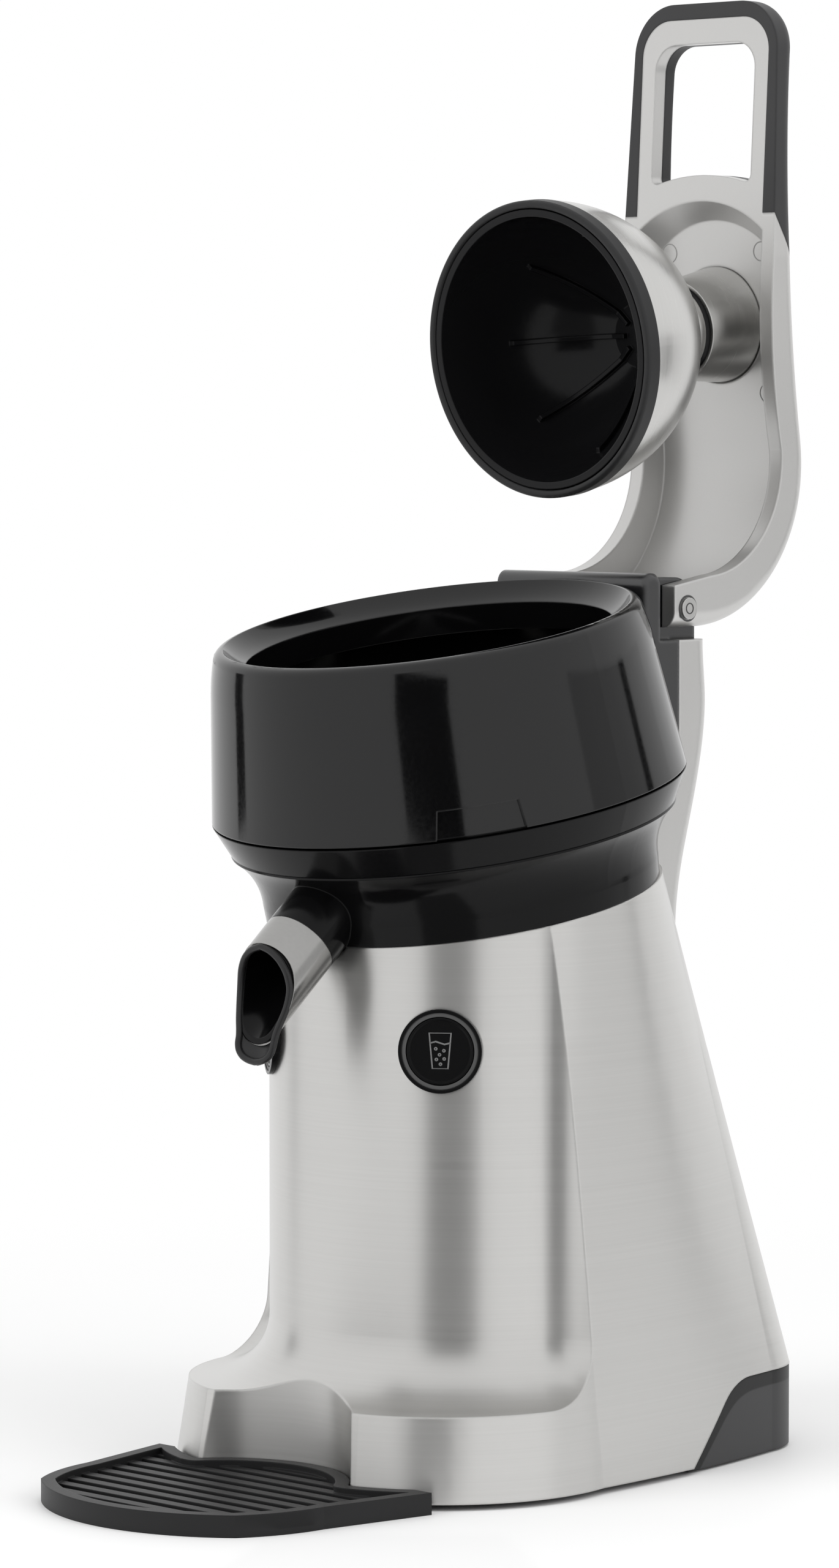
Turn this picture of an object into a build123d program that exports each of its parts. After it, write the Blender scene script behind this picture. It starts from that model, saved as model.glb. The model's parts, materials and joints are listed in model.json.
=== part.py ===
from build123d import *
import math
import os

os.makedirs("parts", exist_ok=True)

# An electric citrus press with a lever arm, in millimetres. It stands on z = 0 and faces -Y.
# Places along Y are counted from the foot of the bowl: ahead is towards -Y, behind towards +Y.

# Stance of the bowl, which leans forward
bowl_y = 8.5
bowl_z = 220.3
bowl_tilt = 10.9

# Shared clearances
seat_gap = 0.3
running_fit = 0.08
overrun = 5.0

# Body shell
body_half_width = 77.7
body_ahead = 80.5
body_behind = 119.0
shell_foot = 2.0
flare_top = 202.0
shell_wall = 1.6
column_radius = 63.5
column_setback = 6.7
ledge_height = 29.0
ledge_fillet = 20.0
wing_ahead = 11.0
wing_fillet = 22.0
glass_ahead = 105.3
bite_radius = 42.0
# The foot outline's right half from the front round to the back: shares of the half width, and of
# the reach ahead (negative) or behind (positive). Every second one is the middle of an arc.
foot_shares = [
    (0.463, -1.0), (0.907, -0.663), (1.0, -0.124), (0.983, 0.336),
    (0.927, 0.739), (0.821, 0.906), (0.566, 0.975),
]
front_crown_share = -1.02
# Where the same points lie on the neck circle, in degrees from the front
neck_angles = [24.0, 51.0, 78.0, 108.0, 138.5, 148.0, 158.0]

# Rear heel
heel_top = 27.6
heel_foot = 0.8
heel_wall = 3.0
heel_start = 28.0
heel_crest = 60.0
heel_bend = 22.0
inlet_height = 14.0
inlet_radius = 7.5
inlet_flange = 10.0
inlet_flange_depth = 2.0
inlet_bore = 4.2

# Base plate, feet and control board
plate_bottom = 1.4
plate_thickness = 3.0
foot_radius = 8.0
foot_front_inset = 38.5
foot_ahead = body_ahead - foot_front_inset
foot_rear_inset = 43.0
foot_behind = body_behind - foot_rear_inset
foot_side_inset = 25.7
foot_spread = body_half_width - foot_side_inset
foot_recess = 1.2
vent_length = 34.0
vent_width = 3.0
vent_pitch = 8.0
vent_count = 6
vent_behind = 52.0
base_screw_radius = 2.6
base_screw_length = 8.0
board_half_width = 26.0
board_height = 46.0
board_thickness = 1.6
board_ahead = 28.0
board_lift = 2.0
post_width = 8.0
post_depth = 7.0
post_height = 22.0
chip_size = 9.0
chip_height = 3.0

# Drip tray
tray_ahead = 157.2
tray_corner_half = 44.1
tray_corner_ahead = 140.7
tray_shoulder_half = 50.3
tray_shoulder_ahead = 128.7
tray_side_half = 53.8
tray_side_ahead = 112.0
tray_rear_half = 61.7
tray_rear_ahead = 72.4
tray_tongue_ahead = 60.0
tray_height = 7.0
tray_rim = 4.5
tray_floor = 2.6
rib_pitch = 8.0
rib_width = 4.2
rib_height = 2.4
rib_count = 12
tray_gap = 0.6

# Bowl: heights along the leaning axis from the edge between the cover and the ring
cover_radius = 78.0
cover_draft = 5.4
cover_shoulder_radius = cover_radius - cover_draft
cover_shoulder = 42.0
cover_brow_inset = 2.35
cover_brow_radius = cover_shoulder_radius - cover_brow_inset
cover_brow = 53.5
cover_crest_inset = 3.45
cover_crest_radius = cover_brow_radius - cover_crest_inset
cover_crest = 56.15
cover_wall = 2.6
cover_edge = 0.4
bowl_dish_width = 6.8
throat_radius = cover_crest_radius - bowl_dish_width
throat_top = 50.1
throat_bottom = 41.0
funnel_inset = 3.5
funnel_radius = throat_radius + funnel_inset
funnel_height = 52.4
notch_half_width = 14.5
notch_height = 9.5
notch_slant = 1.5
notch_depth = 1.2
notch_turn = 51.0
ring_top = -0.4
ring_drop = 10.5
ring_taper = 4.7
ring_bottom_radius = cover_radius - ring_taper
ring_width = 12.0
ring_bore = cover_radius - ring_width
ring_seat_step = 4.5
ring_seat_bore = ring_bore - ring_seat_step
ring_seat = -6.0
spigot_height = 6.0
neck_drop = 35.5
neck_radius = 64.8
collar_waist_radius = 65.2
collar_waist_drop = 29.0
collar_hollow = 1.65
collar_bow_radius = (ring_bottom_radius + collar_waist_radius) / 2 - collar_hollow
collar_bow_drop = 18.5
collar_wall = 3.0
collar_floor = -31.0
collar_floor_thickness = 2.5
collar_cavity_radius = 58.0
skirt_radius = 58.5
skirt_wall = 2.5
skirt_depth = 9.0
chimney_radius = 10.5
chimney_top = -9.0

# Spout
spout_radius = 12.25
spout_slope = 40.0
spout_joint_ahead = 68.9
spout_joint_height = 174.8
spout_root = 26.0
spout_wall = 0.9
lip_wall = 1.5
lip_proud = 0.9
socket_bore = 9.6
# Side view of the spout's mouth from the top to the lip: shares of the radius across the axis and
# of the lip's reach along it
mouth_reach = 35.0
mouth_shares = [(1.15, 0.36), (0.35, 0.45), (-0.15, 0.62), (-0.62, 0.87), (-1.25, 1.04)]

# Strainer and reamer
strainer_play = 1.0
strainer_flange = ring_bore - strainer_play
strainer_thickness = 1.0
strainer_step = 1.5
strainer_radius = ring_seat_bore - strainer_step
strainer_depth = 3.0
strainer_bore = 14.0
slot_count = 20
slot_margin = 10.0
slot_length = strainer_radius - strainer_bore - 2 * slot_margin
slot_width = 2.4
slot_shift = 3.0
slot_radius = (strainer_radius + strainer_bore) / 2 + slot_shift
reamer_base = -1.0
reamer_radius = 33.0
reamer_apex = 39.0
reamer_tip_radius = 4.0
reamer_waist_radius = 24.0
reamer_waist = 24.0
reamer_skirt = 4.0
reamer_ribs = 8
reamer_rib_width = 3.4
reamer_rib_proud = 2.6

# Drive: deck, gear case, gears, shaft and motor, all along the leaning axis
shaft_radius = 4.0
shaft_bottom = -80.0
shaft_top = 18.0
bearing_radius = 9.0
bearing_height = 6.0
seal_height = 5.0
deck_top = -44.5
deck_thickness = 4.0
case_radius = 40.0
case_wall = 2.5
case_offset = 10.0
case_depth = 32.0
case_floor = 4.0
gear_module = 1.0
drive_teeth = 36
pinion_teeth = 12
gear_face = 8.0
gear_drop = -62.0
gear_backlash = 0.16
gear_hub_radius = 9.0
gear_hub_length = 5.0
addendum_share = 0.9
dedendum_share = 1.3
pressure_angle = 22.0
pinion_extra = 2.0
motor_radius = 31.0
motor_wall = 2.0
motor_length = 66.0
motor_cap_height = 10.0
rotor_radius = 19.0
rotor_length = 40.0
rotor_shaft_radius = 2.5
cap_boss_radius = 8.0
deck_screw_radius = 2.0
deck_screw_head_radius = 3.8
deck_screw_head = 2.2
deck_screw_ring = 46.0
motor_screw_ring = 24.0
screw_length = 7.0

# Rear spine and hinge
pivot_behind = 79.1
pivot_height = 278.7
arm_half_width = 34.0
spine_half_width = 34.0
spine_foot = 150.0
spine_shelf = 268.3
spine_round = 7.0
spine_top_behind = 91.0
spine_bulge_behind = 92.2
spine_bulge_height = 250.0
spine_waist_behind = 84.6
spine_waist_height = 208.0
spine_low_behind = 77.6
spine_low_height = 170.0
spine_front_behind = 58.0
bowl_margin = 0.8
cover_low = 235.0
cover_face_behind = 80.5
cover_face_radius = 105.0
hinge_plate_behind = 66.6
hinge_top = 290.6
hinge_top_round = 4.0
hinge_end_chamfer = 1.4
knuckle_radius = 10.2
cheek_gap = 0.5
pin_radius = 2.5
pin_head_radius = 3.6
pin_head_depth = 0.9
bush_radius = 4.2

# Lever arm: its side view, behind the bowl's foot and above the floor
nose_behind = 72.6
nose_drop = 6.3
nose_low = pivot_height - nose_drop
nose_depth = 14.0
nose_high = nose_low + nose_depth
elbow_low_behind = 88.0
elbow_back_behind = 122.8
elbow_back_rise = 13.8
elbow_back_height = nose_low + elbow_back_rise
arm_back_behind = 140.0
arm_back_rise = 47.8
arm_back_height = elbow_back_height + arm_back_rise
waist_back_behind = 133.7
waist_back_rise = 79.0
waist_back_height = arm_back_height + waist_back_rise
top_back_behind = 138.2
handle_rise = 69.3
handle_top = waist_back_height + handle_rise
elbow_front_behind = 91.5
elbow_front_rise = 3.0
elbow_front_height = nose_high + elbow_front_rise
elbow_mid_behind = 114.0
elbow_mid_rise = 9.4
elbow_mid_height = elbow_front_height + elbow_mid_rise
arm_front_behind = 126.8
arm_front_rise = 32.2
arm_front_height = elbow_mid_height + arm_front_rise
belly_front_behind = 122.0
belly_front_rise = 35.0
belly_front_height = arm_front_height + belly_front_rise
handle_front_behind = 122.3
handle_front_rise = 30.0
handle_front_height = belly_front_height + handle_front_rise
top_front_behind = 127.0
arm_web = 2.6
elbow_web_shares = (0.6, 0.8)
arm_back_round = 5.5
channel_half_width = 28.4
channel_foot_behind = 92.5
dish_radius = 43.0
dish_floor_radius = 27.6
handle_top_half = 31.4
handle_taper_height = handle_front_height
handle_corner = 17.0
window_half_width = 22.3
window_height = 48.1
window_bow = 3.6
window_top_bar = 13.8
window_high = handle_top - window_top_bar
window_low = window_high - window_height
window_crown = window_low + window_bow
window_corner = 9.0
window_foot_corner = 2.5
inlay_half_width = 28.2
inlay_border = 5.3
inlay_top = handle_top - inlay_border
inlay_corner = 12.0
inlay_depth = 5.2
grip_length = 72.9
grip_front_low = handle_top - grip_length
grip_lean = 12.7
grip_back_low = grip_front_low - grip_lean
grip_front_behind = 123.8
grip_back_behind = 131.5
grip_bridge_drop = 3.4
grip_bridge = window_low - grip_bridge_drop

# Press cup: distances along its axis from the rim plane towards the arm
cup_droop = 5.9
cup_rim_ahead_of_pivot = 27.6
rim_radius = 49.3
rim_bore = 46.6
rim_round = 1.2
rim_front = -0.6
rim_depth = 5.0
dome_shoulder_radius = 42.6
dome_shoulder = 30.0
dome_end_radius = 17.0
dome_end = 57.0
dome_wall = 1.2
liner_wall = 2.4
liner_depth = 53.0
liner_mid_radius = 37.0
liner_mid = 26.0
liner_end_radius = 11.0
liner_ribs = 8
liner_rib_width = 1.6
liner_rib_proud = 1.8
liner_rib_tip = 26.0
cup_neck_radius = 13.2
cup_neck_end = 64.5
ball_radius = 16.0
ball_place = 73.0
socket_mouth = 69.0
socket_mouth_radius = 16.9
socket_base = 91.4
socket_base_radius = 19.8
socket_fit = 0.1
socket_screw_radius = 2.5
socket_screw_head_radius = 5.0
socket_screw_head = 2.6
stud_radius = 4.0

# Push buttons on the column
button_turn = 37.0
button_height = 141.4
bezel_radius = 13.4
bezel_proud = 1.2
bezel_flange = 3.4
bezel_tube_radius = 12.6
bezel_depth = 15.0
light_radius = 12.3
light_bore = 11.0
light_depth = 2.0
cap_radius = 10.7
cap_proud = 0.8
cap_depth = 4.0
cap_stem_radius = 2.5
cap_stem_length = 9.0
switch_depth = 6.0
cap_dish = 0.4


# Planes and axes that the pieces share
lean = math.radians(bowl_tilt)
bowl_centre = (0, bowl_y, bowl_z)
bowl_dir = (0, -math.sin(lean), math.cos(lean))
foot = (0, bowl_y, 0)
ground = Plane(origin=foot)
side = Plane(origin=foot, x_dir=(0, 1, 0), z_dir=(1, 0, 0))
front = Plane(origin=foot, x_dir=(1, 0, 0), z_dir=(0, -1, 0))
bowl_top = Plane(origin=bowl_centre, x_dir=(1, 0, 0), z_dir=bowl_dir)
bowl_section = Plane(origin=bowl_centre, x_dir=(1, 0, 0), z_dir=-bowl_top.y_dir)
bowl_axis = Axis(bowl_centre, bowl_dir)
pivot = (0, bowl_y + pivot_behind, pivot_height)
pivot_plane = Plane(origin=pivot, x_dir=(0, 1, 0), z_dir=(1, 0, 0))

# The cup swings on the arm, so its axis passes the pivot as far off as the bowl's axis does
lever_reach = pivot_behind * math.cos(lean) + (pivot_height - bowl_z) * math.sin(lean)
droop = math.radians(cup_droop)
cup_dir = (0, math.cos(droop), math.sin(droop))
cup_up = (0, -math.sin(droop), math.cos(droop))
cup_rim_centre = (
    0,
    pivot[1] + lever_reach * cup_up[1] - cup_rim_ahead_of_pivot * cup_dir[1],
    pivot[2] + lever_reach * cup_up[2] - cup_rim_ahead_of_pivot * cup_dir[2],
)
cup_plane = Plane(origin=cup_rim_centre, x_dir=(1, 0, 0), z_dir=cup_dir)
cup_section = Plane(origin=cup_rim_centre, x_dir=(1, 0, 0), z_dir=-cup_plane.y_dir)
cup_axis = Axis(cup_rim_centre, cup_dir)

# The spout's axis leaves the collar and slopes down to the front
slope = math.radians(spout_slope)
spout_dir = (0, -math.cos(slope), -math.sin(slope))
spout_joint = (0, bowl_y - spout_joint_ahead, spout_joint_height)
spout_plane = Plane(origin=spout_joint, x_dir=(1, 0, 0), z_dir=spout_dir)
spout_side = Plane(origin=spout_joint, x_dir=spout_dir, z_dir=(-1, 0, 0))

# The motor's shaft stands behind the drive shaft by the gears' centre distance
drive_radius = gear_module * drive_teeth / 2
pinion_radius = gear_module * pinion_teeth / 2
motor_offset = drive_radius + pinion_radius
case_top = deck_top - deck_thickness
case_bottom = case_top - case_depth
motor_bottom = case_bottom - motor_length


def flare_points(level, inset):
    """Points round the body at a height, drawn in by inset: ends and middles of its arcs in turn."""
    rise = (level - shell_foot) / (flare_top - shell_foot)
    radius = column_radius - inset

    def blend(low, angle):
        turn = math.radians(angle)
        high = (radius * math.sin(turn), column_setback - radius * math.cos(turn))
        return tuple(a + (b - a) * rise for a, b in zip(low, high))

    def foot_point(x_share, y_share):
        reach = body_ahead if y_share < 0 else body_behind
        return ((body_half_width - inset) * x_share, (reach - inset) * y_share)

    right = [blend(foot_point(*share), turn) for share, turn in zip(foot_shares, neck_angles)]
    left = [(-x, y) for x, y in reversed(right)]
    crown = blend(foot_point(0, front_crown_share), 0)
    rear = blend(foot_point(0, 1), 180)
    return right + [rear] + left + [crown]


def flare_outline(level, inset):
    """The closed outline of the body at a height, as a sketch on the ground plane."""
    points = flare_points(level, inset)
    with BuildSketch(ground.offset(level)) as outline:
        with BuildLine():
            for start in range(0, len(points), 2):
                ThreePointArc(points[start], points[start + 1], points[(start + 2) % len(points)])
        make_face()
    return outline.sketch


def scoop(inset):
    """The space in front of the column, over the ledge and between the wings."""
    reach = 3 * body_ahead
    with BuildPart() as space:
        with BuildSketch(ground.offset(ledge_height - inset)):
            with Locations((0, -(reach + wing_ahead - inset) / 2)):
                Rectangle(2 * reach, reach - wing_ahead + inset)
            with Locations((0, column_setback)):
                Circle(column_radius - inset, mode=Mode.SUBTRACT)
            corners = [v for v in vertices() if abs(v.X) < column_radius and v.Y > bowl_y - reach / 2]
            fillet(corners, radius=wing_fillet + inset)
        extrude(amount=flare_top)
        rim = space.edges().group_by(Axis.Z)[0]
        inner = [edge for edge in rim if (edge @ 0.5).Y > bowl_y - body_ahead]
        fillet(inner, radius=ledge_fillet + inset)
    return space.part


def body_volume(inset):
    """The whole form of the body, drawn in by inset: flare, column, scoop and the bite for a glass."""
    bottom = shell_foot - (overrun if inset else 0)
    with BuildPart() as volume:
        add(flare_outline(bottom, inset))
        add(flare_outline(flare_top, inset))
        loft(ruled=True)
        add(scoop(inset), mode=Mode.SUBTRACT)
        with BuildSketch(ground.offset(bottom - overrun)):
            with Locations((0, -glass_ahead)):
                Circle(bite_radius + inset)
        extrude(amount=flare_top, mode=Mode.SUBTRACT)
    return volume.part


def heel_region(margin):
    """Side view of the heel, carried across the body: an S shaped front edge and a level top."""
    with BuildPart() as region:
        with BuildSketch(side):
            with BuildLine():
                FilletPolyline(
                    (heel_start + margin, -overrun),
                    (heel_crest + margin, heel_top - margin),
                    (2 * body_behind, heel_top - margin),
                    radius=heel_bend,
                )
                Line((2 * body_behind, heel_top - margin), (2 * body_behind, -overrun))
                Line((2 * body_behind, -overrun), (heel_start + margin, -overrun))
            make_face()
        extrude(amount=2 * body_half_width, both=True)
    return region.part


def button_plane(turn):
    """A plane on the column's face, turned from the front, that looks outwards."""
    angle = math.radians(turn)
    out = (math.sin(angle), -math.cos(angle), 0)
    origin = (
        column_radius * out[0],
        bowl_y + column_setback + column_radius * out[1],
        button_height,
    )
    return Plane(origin=origin, x_dir=(math.cos(angle), math.sin(angle), 0), z_dir=out)


def bowl_envelope(margin):
    """The round outside of the bowl and collar, grown by margin, that the spine keeps clear of."""
    with BuildPart() as envelope:
        with BuildSketch(bowl_section):
            with BuildLine():
                Polyline(
                    (0, -neck_drop),
                    (neck_radius + margin, -neck_drop),
                    (collar_waist_radius + margin, -collar_waist_drop),
                    (ring_bottom_radius + margin, -ring_drop - margin),
                    (cover_radius + margin, 0),
                    (cover_shoulder_radius + margin, cover_shoulder),
                    (cover_brow_radius + margin, cover_brow + margin),
                    (cover_crest_radius + margin, cover_crest + margin),
                    (0, cover_crest + margin),
                    close=True,
                )
            make_face()
        revolve(axis=bowl_axis)
    return envelope.part


def section_at(plane, turn):
    """The half plane through a plane's own axis, turned about it: radius across, height along."""
    angle = math.radians(turn)
    out = plane.x_dir * math.cos(angle) + plane.y_dir * math.sin(angle)
    across = plane.y_dir * math.cos(angle) - plane.x_dir * math.sin(angle)
    return Plane(origin=plane.origin, x_dir=out, z_dir=-across)


def disc(plane, low, high, radius, places=((0, 0),)):
    """Cylinders between two heights over a plane, one at each place."""
    with BuildPart() as discs:
        with BuildSketch(plane.offset(low)):
            with Locations(*places):
                Circle(radius)
        extrude(amount=high - low)
    return discs.part


def ring(plane, low, high, outer, inner, place=(0, 0)):
    """A plain ring between two heights over a plane."""
    with BuildPart() as band:
        with BuildSketch(plane.offset(low)):
            with Locations(place):
                Circle(outer)
                Circle(inner, mode=Mode.SUBTRACT)
        extrude(amount=high - low)
    return band


# Body shell: thin pressed steel, open below and at the neck
with BuildPart() as body_shell:
    add(body_volume(0))
    add(body_volume(shell_wall), mode=Mode.SUBTRACT)
    split(bisect_by=bowl_top.offset(-neck_drop), keep=Keep.BOTTOM)
    add(heel_region(0), mode=Mode.SUBTRACT)
    for turn in (button_turn, -button_turn):
        with BuildSketch(button_plane(turn)):
            Circle(bezel_tube_radius + seat_gap)
        extrude(amount=column_radius / 2, both=True, mode=Mode.SUBTRACT)
    add(disc(spout_plane, -2 * spout_root, spout_root, spout_radius + seat_gap), mode=Mode.SUBTRACT)

# Rear heel: an upright skirt with the cord inlet's hole
with BuildPart() as rear_heel:
    add(flare_outline(heel_top, 0))
    extrude(amount=heel_foot - heel_top)
    add(flare_outline(heel_top, heel_wall))
    extrude(amount=heel_foot - heel_top, mode=Mode.SUBTRACT)
    add(heel_region(seat_gap / 2), mode=Mode.INTERSECT)
    with BuildSketch(front):
        with Locations((0, inlet_height)):
            Circle(inlet_radius + seat_gap)
    extrude(amount=-2 * body_behind, mode=Mode.SUBTRACT)

heel_back = flare_points(heel_top, 0)[7][1]
with BuildPart() as cord_inlet:
    with BuildSketch(front.offset(-heel_back)):
        with Locations((0, inlet_height)):
            Circle(inlet_flange)
    extrude(amount=-inlet_flange_depth)
    with BuildSketch(front.offset(-heel_back)):
        with Locations((0, inlet_height)):
            Circle(inlet_radius)
    extrude(amount=2 * heel_wall)
    with BuildSketch(front):
        with Locations((0, inlet_height)):
            Circle(inlet_bore)
    extrude(amount=-2 * body_behind, mode=Mode.SUBTRACT)

# Base plate: closes the body from below, with vents, posts for the board and recesses for the feet
foot_places = [
    (foot_spread, -foot_ahead),
    (-foot_spread, -foot_ahead),
    (foot_spread, foot_behind),
    (-foot_spread, foot_behind),
]
screw_places = [(x, y + 2 * foot_radius) for x, y in foot_places[:2]]
screw_places += [(x, y - 2 * foot_radius) for x, y in foot_places[2:]]
with BuildPart() as rear_trim:
    with BuildSketch(ground):
        with Locations((0, heel_start + body_behind)):
            Rectangle(4 * body_half_width, 2 * body_behind)
    extrude(amount=heel_top)
    add(flare_outline(heel_top, heel_wall + seat_gap))
    extrude(amount=-2 * heel_top, mode=Mode.SUBTRACT)
with BuildPart() as base_plate:
    add(flare_outline(plate_bottom + plate_thickness, shell_wall + seat_gap))
    extrude(amount=-plate_thickness)
    add(rear_trim.part, mode=Mode.SUBTRACT)
    with BuildSketch(ground):
        with Locations((0, -glass_ahead)):
            Circle(bite_radius + shell_wall + 2 * seat_gap)
        with Locations((0, vent_behind)):
            with GridLocations(0, vent_pitch, 1, vent_count):
                SlotOverall(vent_length, vent_width)
        with Locations(*screw_places):
            Circle(base_screw_radius / 2 + seat_gap)
    extrude(amount=ledge_height, mode=Mode.SUBTRACT)
    with BuildSketch(ground):
        with Locations(*foot_places):
            Circle(foot_radius + seat_gap)
    extrude(amount=plate_bottom + foot_recess, mode=Mode.SUBTRACT)
    with BuildSketch(ground.offset(plate_bottom + plate_thickness)):
        with Locations((board_half_width, -board_ahead), (-board_half_width, -board_ahead)):
            Rectangle(post_width, post_depth)
    extrude(amount=post_height)
    with BuildSketch(ground.offset(plate_bottom + plate_thickness + board_lift)):
        with Locations((0, -board_ahead)):
            Rectangle(2 * board_half_width, board_thickness + seat_gap)
    extrude(amount=board_height, mode=Mode.SUBTRACT)

with BuildPart() as rubber_feet:
    with BuildSketch(ground):
        with Locations(*foot_places):
            Circle(foot_radius)
    extrude(amount=plate_bottom + foot_recess)
    chamfer(rubber_feet.edges().group_by(Axis.Z)[0], length=foot_recess / 2)

with BuildPart() as base_screws:
    with BuildSketch(ground.offset(plate_bottom)):
        with Locations(*screw_places):
            Circle(base_screw_radius)
    extrude(amount=-plate_bottom / 2)
    with BuildSketch(ground.offset(plate_bottom)):
        with Locations(*screw_places):
            Circle(base_screw_radius / 2)
    extrude(amount=base_screw_length)

with BuildPart() as control_board:
    with BuildSketch(ground.offset(plate_bottom + plate_thickness + board_lift)):
        with Locations((0, -board_ahead)):
            Rectangle(2 * board_half_width - seat_gap, board_thickness)
    extrude(amount=board_height)
    with BuildSketch(front.offset(board_ahead + board_thickness / 2)):
        with Locations((0, post_height + board_height / 2)):
            with GridLocations(2 * chip_size, 0, 2, 1):
                Rectangle(chip_size, chip_size)
    extrude(amount=chip_height)

# Drip tray: a low dish whose back edge follows the body's front and reaches into the bite
with BuildSketch(ground) as tray_outline:
    with BuildLine():
        ThreePointArc(
            (-tray_corner_half, -tray_corner_ahead), (0, -tray_ahead), (tray_corner_half, -tray_corner_ahead)
        )
        ThreePointArc(
            (tray_corner_half, -tray_corner_ahead),
            (tray_shoulder_half, -tray_shoulder_ahead),
            (tray_side_half, -tray_side_ahead),
        )
        Polyline(
            (tray_side_half, -tray_side_ahead),
            (tray_rear_half, -tray_rear_ahead),
            (bite_radius, -tray_rear_ahead),
            (bite_radius, -tray_tongue_ahead),
            (-bite_radius, -tray_tongue_ahead),
            (-bite_radius, -tray_rear_ahead),
            (-tray_rear_half, -tray_rear_ahead),
            (-tray_side_half, -tray_side_ahead),
        )
        ThreePointArc(
            (-tray_side_half, -tray_side_ahead),
            (-tray_shoulder_half, -tray_shoulder_ahead),
            (-tray_corner_half, -tray_corner_ahead),
        )
    make_face()
with BuildPart() as body_footprint:
    add(flare_outline(0, -tray_gap))
    extrude(amount=ledge_height)
    with BuildSketch(ground):
        with Locations((0, -glass_ahead)):
            Circle(bite_radius - tray_gap)
    extrude(amount=ledge_height, mode=Mode.SUBTRACT)
with BuildPart() as drip_tray:
    add(tray_outline.sketch)
    extrude(amount=tray_height)
    add(body_footprint.part, mode=Mode.SUBTRACT)
    top_face = drip_tray.faces().sort_by(Axis.Z)[-1]
    with BuildSketch(Plane(origin=(0, bowl_y, tray_height))) as tray_recess:
        add(offset(top_face, amount=-tray_rim, mode=Mode.PRIVATE).moved(Location((0, -bowl_y, -tray_height))))
    extrude(amount=tray_floor - tray_height, mode=Mode.SUBTRACT)
    with BuildSketch(ground.offset(tray_floor)):
        with Locations((0, -glass_ahead)):
            with GridLocations(0, rib_pitch, 1, rib_count):
                SlotOverall(2 * tray_rear_half, rib_width)
        add(tray_recess.sketch.moved(Location((0, -bowl_y, 0))), mode=Mode.INTERSECT)
    extrude(amount=rib_height)

# Neck collar: the juice channel, with a chimney for the shaft and the spout's socket
floor_bottom = collar_floor - collar_floor_thickness
collar_lip = -ring_drop - 2 * cover_edge
chimney_bore = chimney_radius - collar_wall
skirt_bottom = -neck_drop - skirt_depth
boss_places = [(deck_screw_ring, 0), (-deck_screw_ring, 0), (0, -deck_screw_ring)]
with BuildPart() as neck_collar:
    with BuildSketch(bowl_section):
        with BuildLine():
            Line((ring_bottom_radius - cover_edge, -ring_drop), (ring_bottom_radius, collar_lip))
            ThreePointArc(
                (ring_bottom_radius, collar_lip),
                (collar_bow_radius, -collar_bow_drop),
                (collar_waist_radius, -collar_waist_drop),
            )
            Polyline(
                (collar_waist_radius, -collar_waist_drop),
                (neck_radius, -neck_drop),
                (skirt_radius, -neck_drop),
                (skirt_radius, skirt_bottom),
                (skirt_radius - skirt_wall, skirt_bottom),
                (skirt_radius - skirt_wall, floor_bottom),
                (0, floor_bottom),
                (0, -ring_drop),
                (ring_bottom_radius - cover_edge, -ring_drop),
            )
        make_face()
    revolve(axis=bowl_axis)
    add(disc(bowl_top, deck_top, floor_bottom, deck_screw_head_radius, boss_places))
    with BuildSketch(spout_plane.offset(-spout_root)):
        Circle(spout_radius)
    extrude(amount=spout_root)
    with BuildSketch(bowl_section):
        with BuildLine():
            Polyline(
                (0, 0),
                (0, chimney_top),
                (chimney_radius, chimney_top),
                (chimney_radius, collar_floor),
                (collar_cavity_radius, collar_floor),
                (ring_bottom_radius - collar_wall, -ring_drop),
                (ring_bottom_radius - collar_wall, 0),
                close=True,
            )
        make_face()
    revolve(axis=bowl_axis, mode=Mode.SUBTRACT)
    add(disc(bowl_top, floor_bottom - overrun, 0, chimney_bore), mode=Mode.SUBTRACT)
    add(
        disc(bowl_top, deck_top - overrun, deck_top + screw_length, deck_screw_radius, boss_places),
        mode=Mode.SUBTRACT,
    )
    add(disc(spout_plane, -spout_root, overrun, socket_bore), mode=Mode.SUBTRACT)


def mouth_cut(reach):
    """The space past the spout's mouth: an S curve in side view with the lip lowest."""
    points = [(reach * along, spout_radius * across) for across, along in mouth_shares]
    far = 3 * mouth_reach
    with BuildPart() as space:
        with BuildSketch(spout_side):
            with BuildLine():
                Spline(*points)
                Polyline(points[-1], (far, points[-1][1]), (far, points[0][1]), points[0])
            make_face()
        extrude(amount=2 * spout_radius, both=True)
    return space.part


sleeve_bore = spout_radius - spout_wall
with BuildPart() as spout_sleeve:
    add(disc(spout_plane, 0, 2 * mouth_reach, spout_radius))
    add(disc(spout_plane, -overrun, 3 * mouth_reach, sleeve_bore), mode=Mode.SUBTRACT)
    add(mouth_cut(mouth_reach - lip_proud), mode=Mode.SUBTRACT)
with BuildPart() as spout_lip:
    add(disc(spout_plane, 0, 2 * mouth_reach, sleeve_bore))
    add(disc(spout_plane, -overrun, 3 * mouth_reach, sleeve_bore - lip_wall), mode=Mode.SUBTRACT)
    add(mouth_cut(mouth_reach), mode=Mode.SUBTRACT)

# Bowl ring: carries the strainer and the cover's foot
spigot_radius = cover_radius - cover_wall - seat_gap
with BuildPart() as bowl_ring:
    with BuildSketch(bowl_section):
        with BuildLine():
            Polyline(
                (cover_radius, ring_top),
                (ring_bottom_radius, -ring_drop),
                (ring_seat_bore, -ring_drop),
                (ring_seat_bore, ring_seat),
                (ring_bore, ring_seat),
                (ring_bore, ring_top),
                (spigot_radius - cover_wall, ring_top),
                (spigot_radius - cover_wall, spigot_height),
                (spigot_radius - cover_wall / 2, spigot_height),
                (spigot_radius, ring_top),
                close=True,
            )
        make_face()
    revolve(axis=bowl_axis)

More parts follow.
